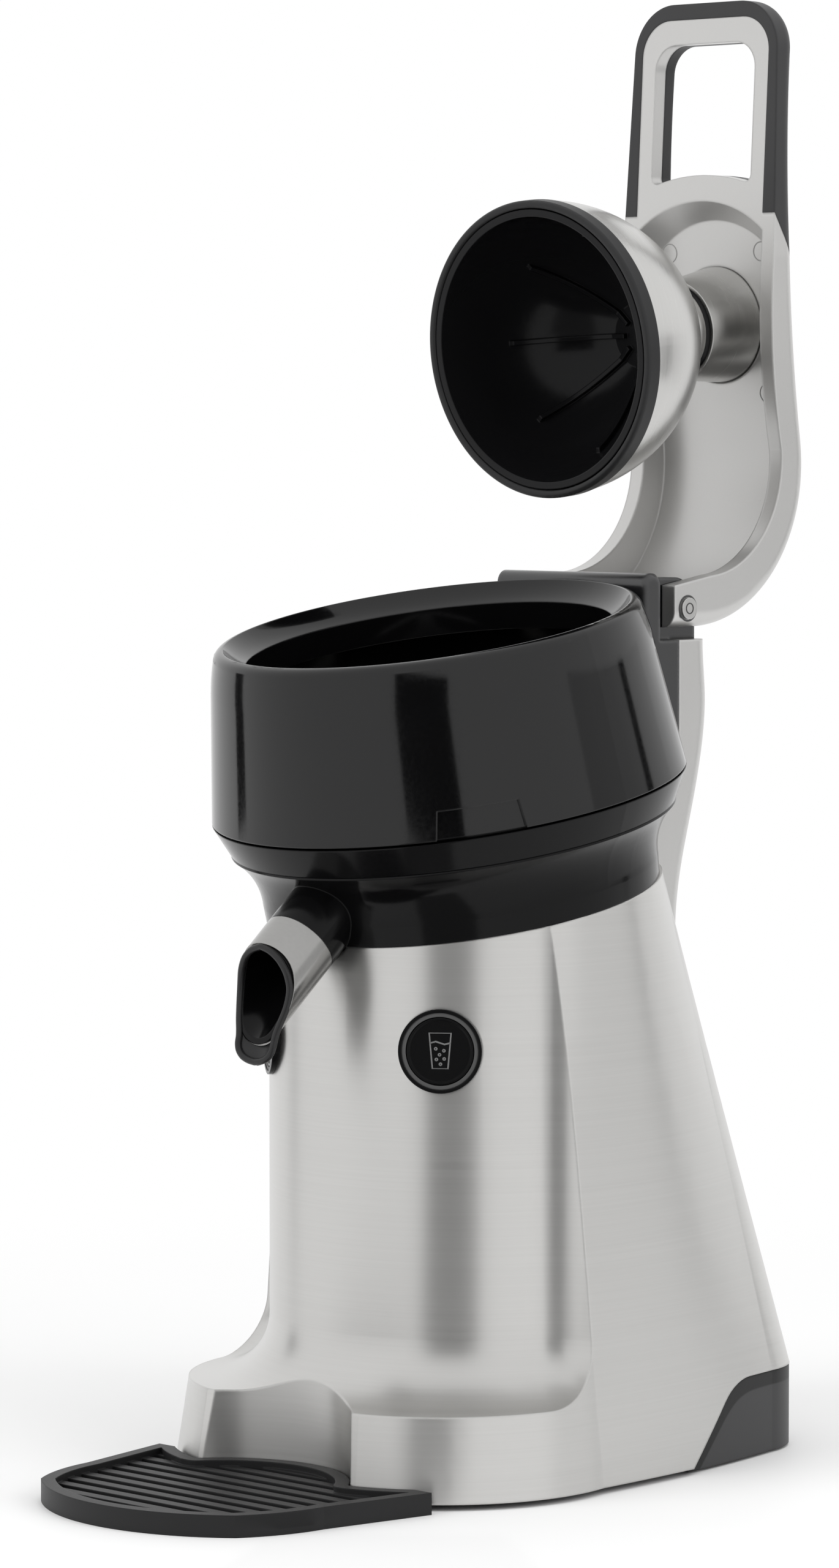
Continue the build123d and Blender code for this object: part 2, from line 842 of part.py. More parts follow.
# Bowl cover: a drum with a rounded brow, a dish that falls to its throat, and a finger notch
notch_plane = section_at(bowl_top, notch_turn - 90)
notch_face = Plane(
    origin=notch_plane.origin + notch_plane.x_dir * cover_radius,
    x_dir=-notch_plane.z_dir,
    z_dir=notch_plane.x_dir,
)
with BuildPart() as notch:
    with BuildSketch(notch_face):
        with BuildLine():
            Polyline(
                (-notch_half_width, 0),
                (notch_slant - notch_half_width, notch_height),
                (notch_half_width - notch_slant, notch_height),
                (notch_half_width, 0),
                close=True,
            )
        make_face()
    extrude(amount=2 * cover_wall, both=True)
    with BuildSketch(bowl_section):
        with BuildLine():
            Polyline(
                (0, -overrun),
                (cover_radius - notch_depth, -overrun),
                (cover_radius - notch_depth, 0),
                (cover_shoulder_radius - notch_depth, cover_shoulder),
                (0, cover_shoulder),
                close=True,
            )
        make_face()
    revolve(axis=bowl_axis, mode=Mode.SUBTRACT)
with BuildPart() as bowl_cover:
    with BuildSketch(bowl_section):
        with BuildLine():
            wall = Line((cover_radius, cover_edge), (cover_shoulder_radius, cover_shoulder))
            brow = TangentArc(wall @ 1, (cover_brow_radius, cover_brow), tangent=wall % 1)
            TangentArc(brow @ 1, (cover_crest_radius, cover_crest), tangent=brow % 1)
            ThreePointArc(
                (cover_crest_radius, cover_crest), (funnel_radius, funnel_height), (throat_radius, throat_top)
            )
            Polyline(
                (throat_radius, throat_top),
                (throat_radius, throat_bottom),
                (throat_radius + cover_wall, throat_bottom),
                (throat_radius + cover_wall, throat_top - cover_wall),
                (funnel_radius, funnel_height - cover_wall),
                (cover_crest_radius, cover_crest - 2 * cover_wall),
                (cover_shoulder_radius - cover_wall, cover_shoulder),
                (cover_radius - cover_wall, cover_edge),
                (cover_radius, cover_edge),
            )
        make_face()
    revolve(axis=bowl_axis)
    add(notch.part, mode=Mode.SUBTRACT)

# Strainer: a shallow steel dish with radial slots
with BuildPart() as strainer:
    with BuildSketch(bowl_section):
        with BuildLine():
            Polyline(
                (strainer_flange, ring_seat),
                (strainer_flange, ring_seat + strainer_thickness),
                (strainer_radius - strainer_thickness, ring_seat + strainer_thickness),
                (strainer_radius - strainer_thickness, ring_seat + strainer_thickness - strainer_depth),
                (strainer_bore + strainer_thickness, ring_seat + strainer_thickness - strainer_depth),
                (strainer_bore + strainer_thickness, ring_seat + strainer_thickness),
                (strainer_bore, ring_seat + strainer_thickness),
                (strainer_bore, ring_seat - strainer_depth),
                (strainer_radius, ring_seat - strainer_depth),
                (strainer_radius, ring_seat),
                close=True,
            )
        make_face()
    revolve(axis=bowl_axis)
    with BuildSketch(bowl_top):
        with PolarLocations(slot_radius, slot_count):
            SlotOverall(slot_length, slot_width)
    extrude(amount=-ring_drop, mode=Mode.SUBTRACT)

# Reamer: a domed cone with eight ribs that meet at its tip
skirt_top = reamer_base + reamer_skirt
with BuildPart() as reamer:
    with BuildSketch(bowl_section):
        with BuildLine():
            Polyline((0, reamer_base), (reamer_radius, reamer_base), (reamer_radius, skirt_top))
            ThreePointArc(
                (reamer_radius, skirt_top),
                (reamer_waist_radius, reamer_waist),
                (reamer_tip_radius, reamer_apex - reamer_rib_proud),
            )
            Polyline(
                (reamer_tip_radius, reamer_apex - reamer_rib_proud),
                (0, reamer_apex - reamer_rib_proud),
                (0, reamer_base),
            )
        make_face()
    revolve(axis=bowl_axis)
    for rib in range(reamer_ribs):
        with BuildSketch(section_at(bowl_top, 360 / reamer_ribs * rib)):
            with BuildLine():
                Polyline((0, reamer_base), (reamer_radius, reamer_base), (reamer_radius, skirt_top))
                ThreePointArc(
                    (reamer_radius, skirt_top),
                    (reamer_waist_radius + reamer_rib_proud, reamer_waist + reamer_rib_proud / 2),
                    (0, reamer_apex),
                )
                Line((0, reamer_apex), (0, reamer_base))
            make_face()
        extrude(amount=reamer_rib_width / 2, both=True)
    add(disc(bowl_top, reamer_base - overrun, shaft_top, shaft_radius + running_fit), mode=Mode.SUBTRACT)

# Drive shaft with its seal and bearings
with BuildPart() as drive_shaft:
    add(disc(bowl_top, shaft_bottom, shaft_top - running_fit, shaft_radius))

shaft_bore = shaft_radius + running_fit
shaft_seal = ring(bowl_top, chimney_top - seal_height, chimney_top, chimney_bore, shaft_bore)
upper_low = deck_top - deck_thickness / 2 - bearing_height / 2
upper_bearing = ring(bowl_top, upper_low, upper_low + bearing_height, bearing_radius, shaft_bore)
lower_bearing = ring(bowl_top, case_bottom, case_bottom + bearing_height, bearing_radius, shaft_bore)

with BuildPart() as drive_deck:
    add(disc(bowl_top, case_top, deck_top, skirt_radius))
    add(disc(bowl_top, case_top - overrun, deck_top + overrun, bearing_radius), mode=Mode.SUBTRACT)
    add(
        disc(bowl_top, case_top - overrun, deck_top + overrun, deck_screw_radius + seat_gap, boss_places),
        mode=Mode.SUBTRACT,
    )
with BuildPart() as deck_screws:
    add(disc(bowl_top, case_top - deck_screw_head, case_top, deck_screw_head_radius, boss_places))
    add(disc(bowl_top, case_top, case_top + screw_length, deck_screw_radius - seat_gap / 2, boss_places))

# Gear case under the deck, with the motor hung from its floor
case_place = (0, case_offset)
motor_place = (0, motor_offset)
can_bore = motor_radius - motor_wall
motor_screw_places = [(motor_screw_ring, motor_offset), (-motor_screw_ring, motor_offset)]
with BuildPart() as gear_case:
    add(disc(bowl_top, case_bottom, case_top, case_radius, (case_place,)))
    add(
        disc(bowl_top, case_bottom + case_floor, case_top + overrun, case_radius - case_wall, (case_place,)),
        mode=Mode.SUBTRACT,
    )
    add(disc(bowl_top, case_bottom - overrun, case_top, bearing_radius), mode=Mode.SUBTRACT)
    add(
        disc(bowl_top, case_bottom - overrun, case_top, 2 * rotor_shaft_radius, (motor_place,)),
        mode=Mode.SUBTRACT,
    )
    add(
        disc(bowl_top, case_bottom - overrun, case_top, deck_screw_radius, motor_screw_places),
        mode=Mode.SUBTRACT,
    )
with BuildPart() as motor_can:
    add(disc(bowl_top, motor_bottom, case_bottom, motor_radius, (motor_place,)))
    add(
        disc(bowl_top, motor_bottom - overrun, case_bottom - motor_wall, can_bore, (motor_place,)),
        mode=Mode.SUBTRACT,
    )
    add(
        disc(bowl_top, motor_bottom, case_bottom + overrun, 2 * rotor_shaft_radius, (motor_place,)),
        mode=Mode.SUBTRACT,
    )
    add(
        disc(bowl_top, motor_bottom, case_bottom + overrun, deck_screw_radius, motor_screw_places),
        mode=Mode.SUBTRACT,
    )
with BuildPart() as motor_screws:
    add(
        disc(
            bowl_top,
            case_bottom + case_floor,
            case_bottom + case_floor + deck_screw_head,
            deck_screw_head_radius,
            motor_screw_places,
        )
    )
    add(
        disc(
            bowl_top,
            case_bottom + case_floor - screw_length,
            case_bottom + case_floor,
            deck_screw_radius - seat_gap / 2,
            motor_screw_places,
        )
    )
stator_high = case_bottom - (motor_length - rotor_length) / 2
stator_low = stator_high - rotor_length
stator = ring(bowl_top, stator_low, stator_high, can_bore, rotor_radius + 2 * seat_gap, motor_place)
with BuildPart() as motor_cap:
    add(disc(bowl_top, motor_bottom - motor_cap_height, motor_bottom, motor_radius, (motor_place,)))
    add(
        disc(
            bowl_top,
            motor_bottom - motor_cap_height + motor_wall,
            motor_bottom + overrun,
            can_bore,
            (motor_place,),
        ),
        mode=Mode.SUBTRACT,
    )
    add(disc(bowl_top, motor_bottom - motor_cap_height, motor_bottom, cap_boss_radius, (motor_place,)))
    add(
        disc(
            bowl_top,
            motor_bottom - motor_cap_height + motor_wall,
            motor_bottom + overrun,
            rotor_shaft_radius + running_fit,
            (motor_place,),
        ),
        mode=Mode.SUBTRACT,
    )
with BuildPart() as rotor:
    add(disc(bowl_top, stator_low, stator_high, rotor_radius, (motor_place,)))
    add(
        disc(
            bowl_top,
            motor_bottom - motor_cap_height + motor_wall + seat_gap,
            gear_drop + gear_face + pinion_extra,
            rotor_shaft_radius,
            (motor_place,),
        )
    )


def gear_points(teeth, phase):
    """A spur gear's outline: each tooth has a root, a pitch and a tip point on either side."""
    pitch = gear_module * teeth / 2
    base = pitch * math.cos(math.radians(pressure_angle))
    root = pitch - dedendum_share * gear_module
    tip = pitch + addendum_share * gear_module

    def roll(radius):
        grip = math.acos(min(1, base / max(radius, base)))
        return math.tan(grip) - grip

    def half_angle(radius):
        return (math.pi / 2 - gear_backlash / gear_module) / teeth + roll(pitch) - roll(radius)

    points = []
    for tooth in range(teeth):
        middle = 2 * math.pi * tooth / teeth + math.radians(phase)
        flank = [(radius, half_angle(radius)) for radius in (root, pitch, tip)]
        for radius, half in flank:
            points.append((radius * math.cos(middle - half), radius * math.sin(middle - half)))
        for radius, half in reversed(flank):
            points.append((radius * math.cos(middle + half), radius * math.sin(middle + half)))
    return points


# The gears mesh on the line between their centres: a tooth of the pinion in a gap of the drive gear
with BuildPart() as drive_gear:
    with BuildSketch(bowl_top.offset(gear_drop)):
        with BuildLine():
            Polyline(*gear_points(drive_teeth, 90 + 180 / drive_teeth), close=True)
        make_face()
    extrude(amount=gear_face)
    add(disc(bowl_top, gear_drop - gear_hub_length, gear_drop, gear_hub_radius))
    add(disc(bowl_top, shaft_bottom, deck_top, shaft_radius + running_fit / 2), mode=Mode.SUBTRACT)
with BuildPart() as motor_pinion:
    with BuildSketch(bowl_top.offset(gear_drop - pinion_extra / 2)):
        with BuildLine():
            Polyline(*[(x, y + motor_offset) for x, y in gear_points(pinion_teeth, -90)], close=True)
        make_face()
    extrude(amount=gear_face + pinion_extra)
    add(
        disc(bowl_top, case_bottom, deck_top, rotor_shaft_radius + running_fit / 2, (motor_place,)),
        mode=Mode.SUBTRACT,
    )

# Rear spine and hinge cover: one upright, parted by a curved face, both clear of the bowl
knuckle_half_width = channel_half_width - cheek_gap
with BuildPart() as upright:
    with BuildSketch(side):
        with BuildLine():
            Spline(
                (spine_low_behind, spine_low_height),
                (spine_waist_behind, spine_waist_height),
                (spine_bulge_behind, spine_bulge_height),
                (spine_top_behind, spine_shelf),
                tangents=((0, 1), (0, 1)),
            )
            Polyline(
                (spine_top_behind, spine_shelf),
                (spine_front_behind, spine_shelf),
                (spine_front_behind, spine_foot),
                (spine_low_behind, spine_foot),
                (spine_low_behind, spine_low_height),
            )
        make_face()
    extrude(amount=spine_half_width, both=True)
    back_edges = [e for e in upright.edges() if abs((e @ 0.5).X) > spine_half_width / 2]
    back_edges = [e for e in back_edges if (e @ 0.5).Y - bowl_y > spine_low_behind]
    back_edges = [e for e in back_edges if spine_low_height < (e @ 0.5).Z < spine_shelf - overrun]
    fillet(back_edges, radius=spine_round)
    add(body_volume(-seat_gap), mode=Mode.SUBTRACT)
    add(bowl_envelope(bowl_margin), mode=Mode.SUBTRACT)
with BuildPart() as cover_zone:
    with BuildSketch(ground.offset(cover_low)):
        with Locations((0, cover_face_behind - cover_face_radius)):
            Circle(cover_face_radius)
    extrude(amount=hinge_top)
with BuildPart() as rear_spine:
    add(upright.part)
    add(cover_zone.part, mode=Mode.SUBTRACT)
with BuildPart() as hinge_plate:
    plate_foot = spine_shelf - overrun
    with BuildSketch(side):
        with BuildLine():
            FilletPolyline(
                (spine_front_behind, plate_foot),
                (spine_front_behind, hinge_top),
                (hinge_plate_behind, hinge_top),
                (hinge_plate_behind, plate_foot),
                radius=hinge_top_round,
            )
            Line((hinge_plate_behind, plate_foot), (spine_front_behind, plate_foot))
        make_face()
    extrude(amount=spine_half_width, both=True)
    ends = hinge_plate.faces().sort_by(Axis.X)
    chamfer(ends[0].edges() + ends[-1].edges(), length=hinge_end_chamfer)
with BuildPart() as hinge_cover:
    add(upright.part)
    add(cover_zone.part, mode=Mode.INTERSECT)
    add(hinge_plate.part)
    with BuildSketch(side):
        with Locations((pivot_behind, pivot_height)):
            Circle(knuckle_radius)
        with BuildLine():
            Polyline(
                (hinge_plate_behind - seat_gap, spine_shelf),
                (pivot_behind + knuckle_radius, spine_shelf),
                (pivot_behind + knuckle_radius, pivot_height),
                (pivot_behind, pivot_height + knuckle_radius),
                (hinge_plate_behind - seat_gap, pivot_height + knuckle_radius),
                close=True,
            )
        make_face()
    extrude(amount=knuckle_half_width, both=True)
    add(bowl_envelope(bowl_margin), mode=Mode.SUBTRACT)
    with BuildSketch(pivot_plane):
        Circle(bush_radius)
    extrude(amount=spine_half_width, both=True, mode=Mode.SUBTRACT)

with BuildPart() as hinge_bushes:
    for hand in (1, -1):
        with BuildSketch(pivot_plane.offset(hand * knuckle_half_width)):
            Circle(bush_radius)
            Circle(pin_radius + running_fit, mode=Mode.SUBTRACT)
        extrude(amount=-hand * knuckle_half_width / 2)
with BuildPart() as hinge_pin:
    with BuildSketch(pivot_plane):
        Circle(pin_radius)
    extrude(amount=arm_half_width, both=True)
    for hand in (1, -1):
        with BuildSketch(pivot_plane.offset(hand * arm_half_width)):
            Circle(pin_head_radius)
        extrude(amount=hand * pin_head_depth)

# Lever arm: an S shaped channel with a dish round the cup's socket and a handle window
dish_height = cup_rim_centre[2] + socket_base * math.sin(droop)
handle_lean = math.atan2(top_front_behind - handle_front_behind, handle_top - handle_front_height)
handle_plane = Plane(
    origin=(0, bowl_y + handle_front_behind, handle_front_height),
    x_dir=(1, 0, 0),
    z_dir=(0, -math.cos(handle_lean), math.sin(handle_lean)),
)
with BuildPart() as arm_form:
    with BuildSketch(side):
        with BuildLine():
            Line((nose_behind, nose_low), (elbow_low_behind, nose_low))
            ThreePointArc(
                (elbow_low_behind, nose_low),
                (elbow_back_behind, elbow_back_height),
                (arm_back_behind, arm_back_height),
            )
            ThreePointArc(
                (arm_back_behind, arm_back_height),
                (waist_back_behind, waist_back_height),
                (top_back_behind, handle_top),
            )
            Polyline(
                (top_back_behind, handle_top),
                (top_front_behind, handle_top),
                (handle_front_behind, handle_front_height),
            )
            ThreePointArc(
                (handle_front_behind, handle_front_height),
                (belly_front_behind, belly_front_height),
                (arm_front_behind, arm_front_height),
            )
            ThreePointArc(
                (arm_front_behind, arm_front_height),
                (elbow_mid_behind, elbow_mid_height),
                (elbow_front_behind, elbow_front_height),
            )
            Polyline(
                (elbow_front_behind, elbow_front_height),
                (nose_behind, nose_high),
                (nose_behind, nose_low),
            )
        make_face()
    extrude(amount=arm_half_width, both=True)
    with BuildSketch(front):
        with BuildLine():
            FilletPolyline(
                (arm_half_width, handle_taper_height),
                (handle_top_half, handle_top),
                (-handle_top_half, handle_top),
                (-arm_half_width, handle_taper_height),
                radius=handle_corner,
            )
            Polyline(
                (-arm_half_width, handle_taper_height),
                (-arm_half_width, spine_foot),
                (arm_half_width, spine_foot),
                (arm_half_width, handle_taper_height),
            )
        make_face()
    extrude(amount=2 * arm_back_behind, both=True, mode=Mode.INTERSECT)
    handle_back = bowl_y + waist_back_behind - 2 * seat_gap
    elbow_back = bowl_y + elbow_front_behind
    upper = [e for e in arm_form.edges() if (e @ 0.5).Y > handle_back]
    upper = [e for e in upper if (e @ 0.5).Z > arm_back_height + overrun]
    lower = [e for e in arm_form.edges() if (e @ 0.5).Y > elbow_back]
    lower = [e for e in lower if min((e @ 0).Z, (e @ 1).Z) < nose_low + seat_gap < (e @ 0.5).Z]
    fillet(upper + lower, radius=arm_back_round)

dish_slope = (dish_radius - dish_floor_radius) / (arm_back_behind - belly_front_behind)
with BuildPart() as dish_form:
    with BuildSketch(front.offset(overrun - belly_front_behind)):
        with Locations((0, dish_height)):
            Circle(dish_radius + overrun * dish_slope)
    with BuildSketch(front.offset(-arm_back_behind)):
        with Locations((0, dish_height)):
            Circle(dish_floor_radius)
    loft()
    with BuildSketch(front.offset(-spine_front_behind)):
        with Locations((0, (dish_height + spine_foot) / 2)):
            Rectangle(2 * arm_half_width, dish_height - spine_foot)
    extrude(amount=-arm_back_behind)
with BuildPart() as channel:
    with BuildSketch(side):
        with BuildLine():
            ThreePointArc(
                (channel_foot_behind, nose_low + arm_web),
                (
                    elbow_back_behind - arm_web * elbow_web_shares[0],
                    elbow_back_height + arm_web * elbow_web_shares[1],
                ),
                (arm_back_behind - arm_web, arm_back_height),
            )
            ThreePointArc(
                (arm_back_behind - arm_web, arm_back_height),
                (waist_back_behind - arm_web, waist_back_height),
                (top_back_behind - arm_web, handle_top),
            )
            Polyline(
                (top_back_behind - arm_web, handle_top),
                (spine_front_behind, handle_top),
                (spine_front_behind, spine_foot),
                (channel_foot_behind, spine_foot),
                (channel_foot_behind, nose_low + arm_web),
            )
        make_face()
    extrude(amount=channel_half_width, both=True)
    add(dish_form.part, mode=Mode.INTERSECT)
with BuildPart() as window:
    with BuildSketch(front):
        with BuildLine():
            ThreePointArc(
                (-window_half_width, window_low), (0, window_crown), (window_half_width, window_low)
            )
            Polyline(
                (window_half_width, window_low),
                (window_half_width, window_high),
                (-window_half_width, window_high),
                (-window_half_width, window_low),
            )
        make_face()
        fillet(vertices().group_by(Axis.Y)[-1], radius=window_corner)
        fillet(vertices().group_by(Axis.Y)[0], radius=window_foot_corner)
    extrude(amount=-2 * arm_back_behind)
with BuildPart() as grip_zone:
    lean_back = grip_back_behind - grip_front_behind
    lean_down = grip_front_low - grip_back_low
    with BuildSketch(side):
        with BuildLine():
            Polyline(
                (grip_front_behind - 2 * lean_back, grip_front_low + 2 * lean_down),
                (grip_back_behind + 2 * lean_back, grip_back_low - 2 * lean_down),
                (2 * arm_back_behind, grip_back_low - 2 * lean_down),
                (2 * arm_back_behind, 2 * handle_top),
                (grip_front_behind - 2 * lean_back, 2 * handle_top),
                close=True,
            )
        make_face()
    extrude(amount=2 * arm_half_width, both=True)
    with BuildSketch(handle_plane.offset(-inlay_depth)):
        with BuildLine():
            FilletPolyline(
                (inlay_half_width, -handle_top),
                (inlay_half_width, inlay_top - handle_front_height),
                (-inlay_half_width, inlay_top - handle_front_height),
                (-inlay_half_width, -handle_top),
                radius=inlay_corner,
            )
            Line((-inlay_half_width, -handle_top), (inlay_half_width, -handle_top))
        make_face()
    extrude(amount=4 * inlay_depth, mode=Mode.SUBTRACT)
    with BuildSketch(front):
        with Locations((0, grip_bridge / 2)):
            Rectangle(2 * inlay_half_width, grip_bridge)
    extrude(amount=-2 * arm_back_behind, mode=Mode.SUBTRACT)

back_face = socket_base + seat_gap + arm_web / 2
with BuildPart() as lever_arm:
    add(arm_form.part)
    add(channel.part, mode=Mode.SUBTRACT)
    add(window.part, mode=Mode.SUBTRACT)
    add(grip_zone.part, mode=Mode.SUBTRACT)
    add(
        disc(cup_plane, socket_mouth, socket_base + seat_gap, socket_base_radius + seat_gap),
        mode=Mode.SUBTRACT,
    )
    add(disc(cup_plane, socket_mouth, 2 * socket_base, socket_screw_radius + seat_gap / 2), mode=Mode.SUBTRACT)
    add(disc(cup_plane, back_face, 2 * socket_base, socket_screw_head_radius + seat_gap), mode=Mode.SUBTRACT)
    with BuildSketch(pivot_plane):
        Circle(pin_radius + running_fit / 2)
    extrude(amount=2 * arm_half_width, both=True, mode=Mode.SUBTRACT)
with BuildPart() as handle_grip:
    add(arm_form.part)
    add(grip_zone.part, mode=Mode.INTERSECT)
    add(window.part, mode=Mode.SUBTRACT)

# Press cup: dome, liner, rim, neck and ball, and the socket on the arm that holds the ball
with BuildPart() as press_dome:
    with BuildSketch(cup_section):
        with BuildLine():
            ThreePointArc(
                (rim_radius - seat_gap, rim_depth),
                (dome_shoulder_radius, dome_shoulder),
                (dome_end_radius, dome_end),
            )
            Polyline(
                (dome_end_radius, dome_end),
                (stud_radius + running_fit, dome_end),
                (stud_radius + running_fit, dome_end - dome_wall),
                (dome_end_radius, dome_end - dome_wall),
            )
            ThreePointArc(
                (dome_end_radius, dome_end - dome_wall),
                (dome_shoulder_radius - dome_wall, dome_shoulder - dome_wall / 2),
                (rim_radius - seat_gap - dome_wall, rim_depth),
            )
            Line((rim_radius - seat_gap - dome_wall, rim_depth), (rim_radius - seat_gap, rim_depth))
        make_face()
    revolve(axis=cup_axis)
liner_lip = rim_bore - seat_gap
liner_inner = liner_lip - liner_wall
liner_floor = liner_depth - liner_wall
with BuildPart() as cup_liner:
    with BuildSketch(cup_section):
        with BuildLine():
            ThreePointArc(
                (liner_lip, 0), (liner_mid_radius + liner_wall, liner_mid), (liner_end_radius, liner_depth)
            )
            Polyline(
                (liner_end_radius, liner_depth),
                (liner_end_radius, dome_end - dome_wall),
                (0, dome_end - dome_wall),
                (0, liner_floor),
                (liner_end_radius, liner_floor),
            )
            ThreePointArc((liner_end_radius, liner_floor), (liner_mid_radius, liner_mid), (liner_inner, 0))
            Line((liner_inner, 0), (liner_lip, 0))
        make_face()
    revolve(axis=cup_axis)
    rib_foot = liner_end_radius / 2
    rib_crest = liner_floor - liner_rib_proud
    for rib in range(liner_ribs):
        with BuildSketch(section_at(cup_plane, 360 / liner_ribs * rib)):
            with BuildLine():
                Polyline(
                    (liner_end_radius, rib_crest),
                    (rib_foot, rib_crest),
                    (rib_foot, liner_depth),
                    (liner_end_radius, liner_depth - liner_wall / 2),
                )
                ThreePointArc(
                    (liner_end_radius, liner_depth - liner_wall / 2),
                    (liner_mid_radius + liner_wall / 2, liner_mid),
                    (liner_lip - liner_wall / 2, 0),
                )
                Line((liner_lip - liner_wall / 2, 0), (liner_inner - liner_rib_proud, 0))
                ThreePointArc(
                    (liner_inner - liner_rib_proud, 0),
                    (liner_mid_radius - liner_rib_proud, liner_mid),
                    (liner_end_radius, rib_crest),
                )
            make_face()
            with Locations((0, liner_rib_tip + liner_depth)):
                Rectangle(2 * rim_radius, 2 * liner_depth, mode=Mode.INTERSECT)
        extrude(amount=liner_rib_width / 2, both=True)
with BuildPart() as cup_rim:
    with BuildSketch(cup_section):
        with BuildLine():
            FilletPolyline(
                (rim_bore, rim_depth),
                (rim_bore, rim_front),
                (rim_radius, rim_front),
                (rim_radius, rim_depth),
                radius=rim_round,
            )
            Line((rim_radius, rim_depth), (rim_bore, rim_depth))
        make_face()
    revolve(axis=cup_axis)
with BuildPart() as cup_neck:
    add(disc(cup_plane, dome_end, cup_neck_end, cup_neck_radius))
    add(disc(cup_plane, dome_end - dome_wall, ball_place, stud_radius))
with BuildPart() as cup_ball:
    with Locations(cup_plane.offset(ball_place).location):
        Sphere(ball_radius)
    add(disc(cup_plane, 0, cup_neck_end, 2 * ball_radius), mode=Mode.SUBTRACT)
    add(disc(cup_plane, 0, ball_place + running_fit, stud_radius + running_fit), mode=Mode.SUBTRACT)
with BuildPart() as cup_socket:
    with BuildSketch(cup_section):
        with BuildLine():
            Polyline(
                (0, socket_mouth),
                (socket_mouth_radius, socket_mouth),
                (socket_base_radius, socket_base),
                (0, socket_base),
                close=True,
            )
        make_face()
    revolve(axis=cup_axis)
    with Locations(cup_plane.offset(ball_place).location):
        Sphere(ball_radius + socket_fit, mode=Mode.SUBTRACT)
    add(disc(cup_plane, ball_place, 2 * socket_base, socket_screw_radius), mode=Mode.SUBTRACT)
with BuildPart() as socket_screw:
    add(disc(cup_plane, socket_base - dome_wall / 2, back_face, socket_screw_radius - seat_gap / 2))
    add(disc(cup_plane, back_face, back_face + socket_screw_head, socket_screw_head_radius))


def push_button(turn):
    """One push button: its bezel, light ring, cap and switch, seated in the column."""
    plane = button_plane(turn)
    with BuildPart() as bezel:
        add(disc(plane, bezel_proud - bezel_flange, bezel_proud, bezel_radius))
        add(disc(plane, -bezel_depth, bezel_proud, bezel_tube_radius))
        add(body_shell.part, mode=Mode.SUBTRACT)
        add(disc(plane, bezel_proud - light_depth, bezel_proud + overrun, light_radius), mode=Mode.SUBTRACT)
        add(disc(plane, -2 * bezel_depth, bezel_proud + overrun, light_bore), mode=Mode.SUBTRACT)
    light = ring(plane, bezel_proud - light_depth, bezel_proud - seat_gap, light_radius, light_bore)
    with BuildPart() as cap:
        add(disc(plane, cap_proud - cap_depth, cap_proud, cap_radius))
        add(
            disc(plane, cap_proud - cap_dish, cap_proud + overrun, cap_radius - 2 * cap_dish),
            mode=Mode.SUBTRACT,
        )
        add(disc(plane, cap_proud - cap_depth - cap_stem_length, cap_proud - cap_depth, cap_stem_radius))
    switch = ring(plane, -bezel_depth, switch_depth - bezel_depth, light_bore, cap_stem_radius + running_fit)
    return bezel, light, cap, switch


bezel_right, light_right, cap_right, switch_right = push_button(button_turn)
bezel_left, light_left, cap_left, switch_left = push_button(-button_turn)

# Every piece under its own name
pieces = {
    "body_shell": body_shell,
    "rear_heel": rear_heel,
    "cord_inlet": cord_inlet,
    "base_plate": base_plate,
    "rubber_feet": rubber_feet,
    "base_screws": base_screws,
    "control_board": control_board,
    "drip_tray": drip_tray,
    "neck_collar": neck_collar,
    "spout_sleeve": spout_sleeve,
    "spout_lip": spout_lip,
    "bowl_ring": bowl_ring,
    "bowl_cover": bowl_cover,
    "strainer": strainer,
    "reamer": reamer,
    "drive_shaft": drive_shaft,
    "shaft_seal": shaft_seal,
    "upper_bearing": upper_bearing,
    "lower_bearing": lower_bearing,
    "drive_deck": drive_deck,
    "deck_screws": deck_screws,
    "gear_case": gear_case,
    "drive_gear": drive_gear,
    "motor_pinion": motor_pinion,
    "motor_can": motor_can,
    "motor_screws": motor_screws,
    "stator": stator,
    "rotor": rotor,
    "motor_cap": motor_cap,
    "rear_spine": rear_spine,
    "hinge_cover": hinge_cover,
    "hinge_bushes": hinge_bushes,
    "hinge_pin": hinge_pin,
    "lever_arm": lever_arm,
    "handle_grip": handle_grip,
    "press_dome": press_dome,
    "cup_liner": cup_liner,
    "cup_rim": cup_rim,
    "cup_neck": cup_neck,
    "cup_ball": cup_ball,
    "cup_socket": cup_socket,
    "socket_screw": socket_screw,
    "button_bezel_right": bezel_right,
    "button_bezel_left": bezel_left,
    "button_light_right": light_right,
    "button_light_left": light_left,
    "button_cap_right": cap_right,
    "button_cap_left": cap_left,
    "button_switch_right": switch_right,
    "button_switch_left": switch_left,
}
for name, piece in pieces.items():
    piece.part.label = name
    export_step(piece.part, f"parts/{name}.step")
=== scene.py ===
"""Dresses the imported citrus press: finishes for every CAD node, small trim, and a studio stage."""

import json
import math

import bpy
import numpy as np
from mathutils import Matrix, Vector


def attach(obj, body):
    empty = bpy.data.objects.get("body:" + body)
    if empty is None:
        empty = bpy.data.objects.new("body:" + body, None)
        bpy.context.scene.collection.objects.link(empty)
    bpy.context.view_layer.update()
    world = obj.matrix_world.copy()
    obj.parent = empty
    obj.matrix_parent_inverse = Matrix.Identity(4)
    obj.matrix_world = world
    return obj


bl_info = {
    "name": "Citrus Press Dresser",
    "version": (1, 0, 0),
    "blender": (4, 5, 0),
    "location": "View3D > Sidebar > Press",
    "description": "Finishes, trim and stage for a lever citrus press",
    "category": "Object",
}

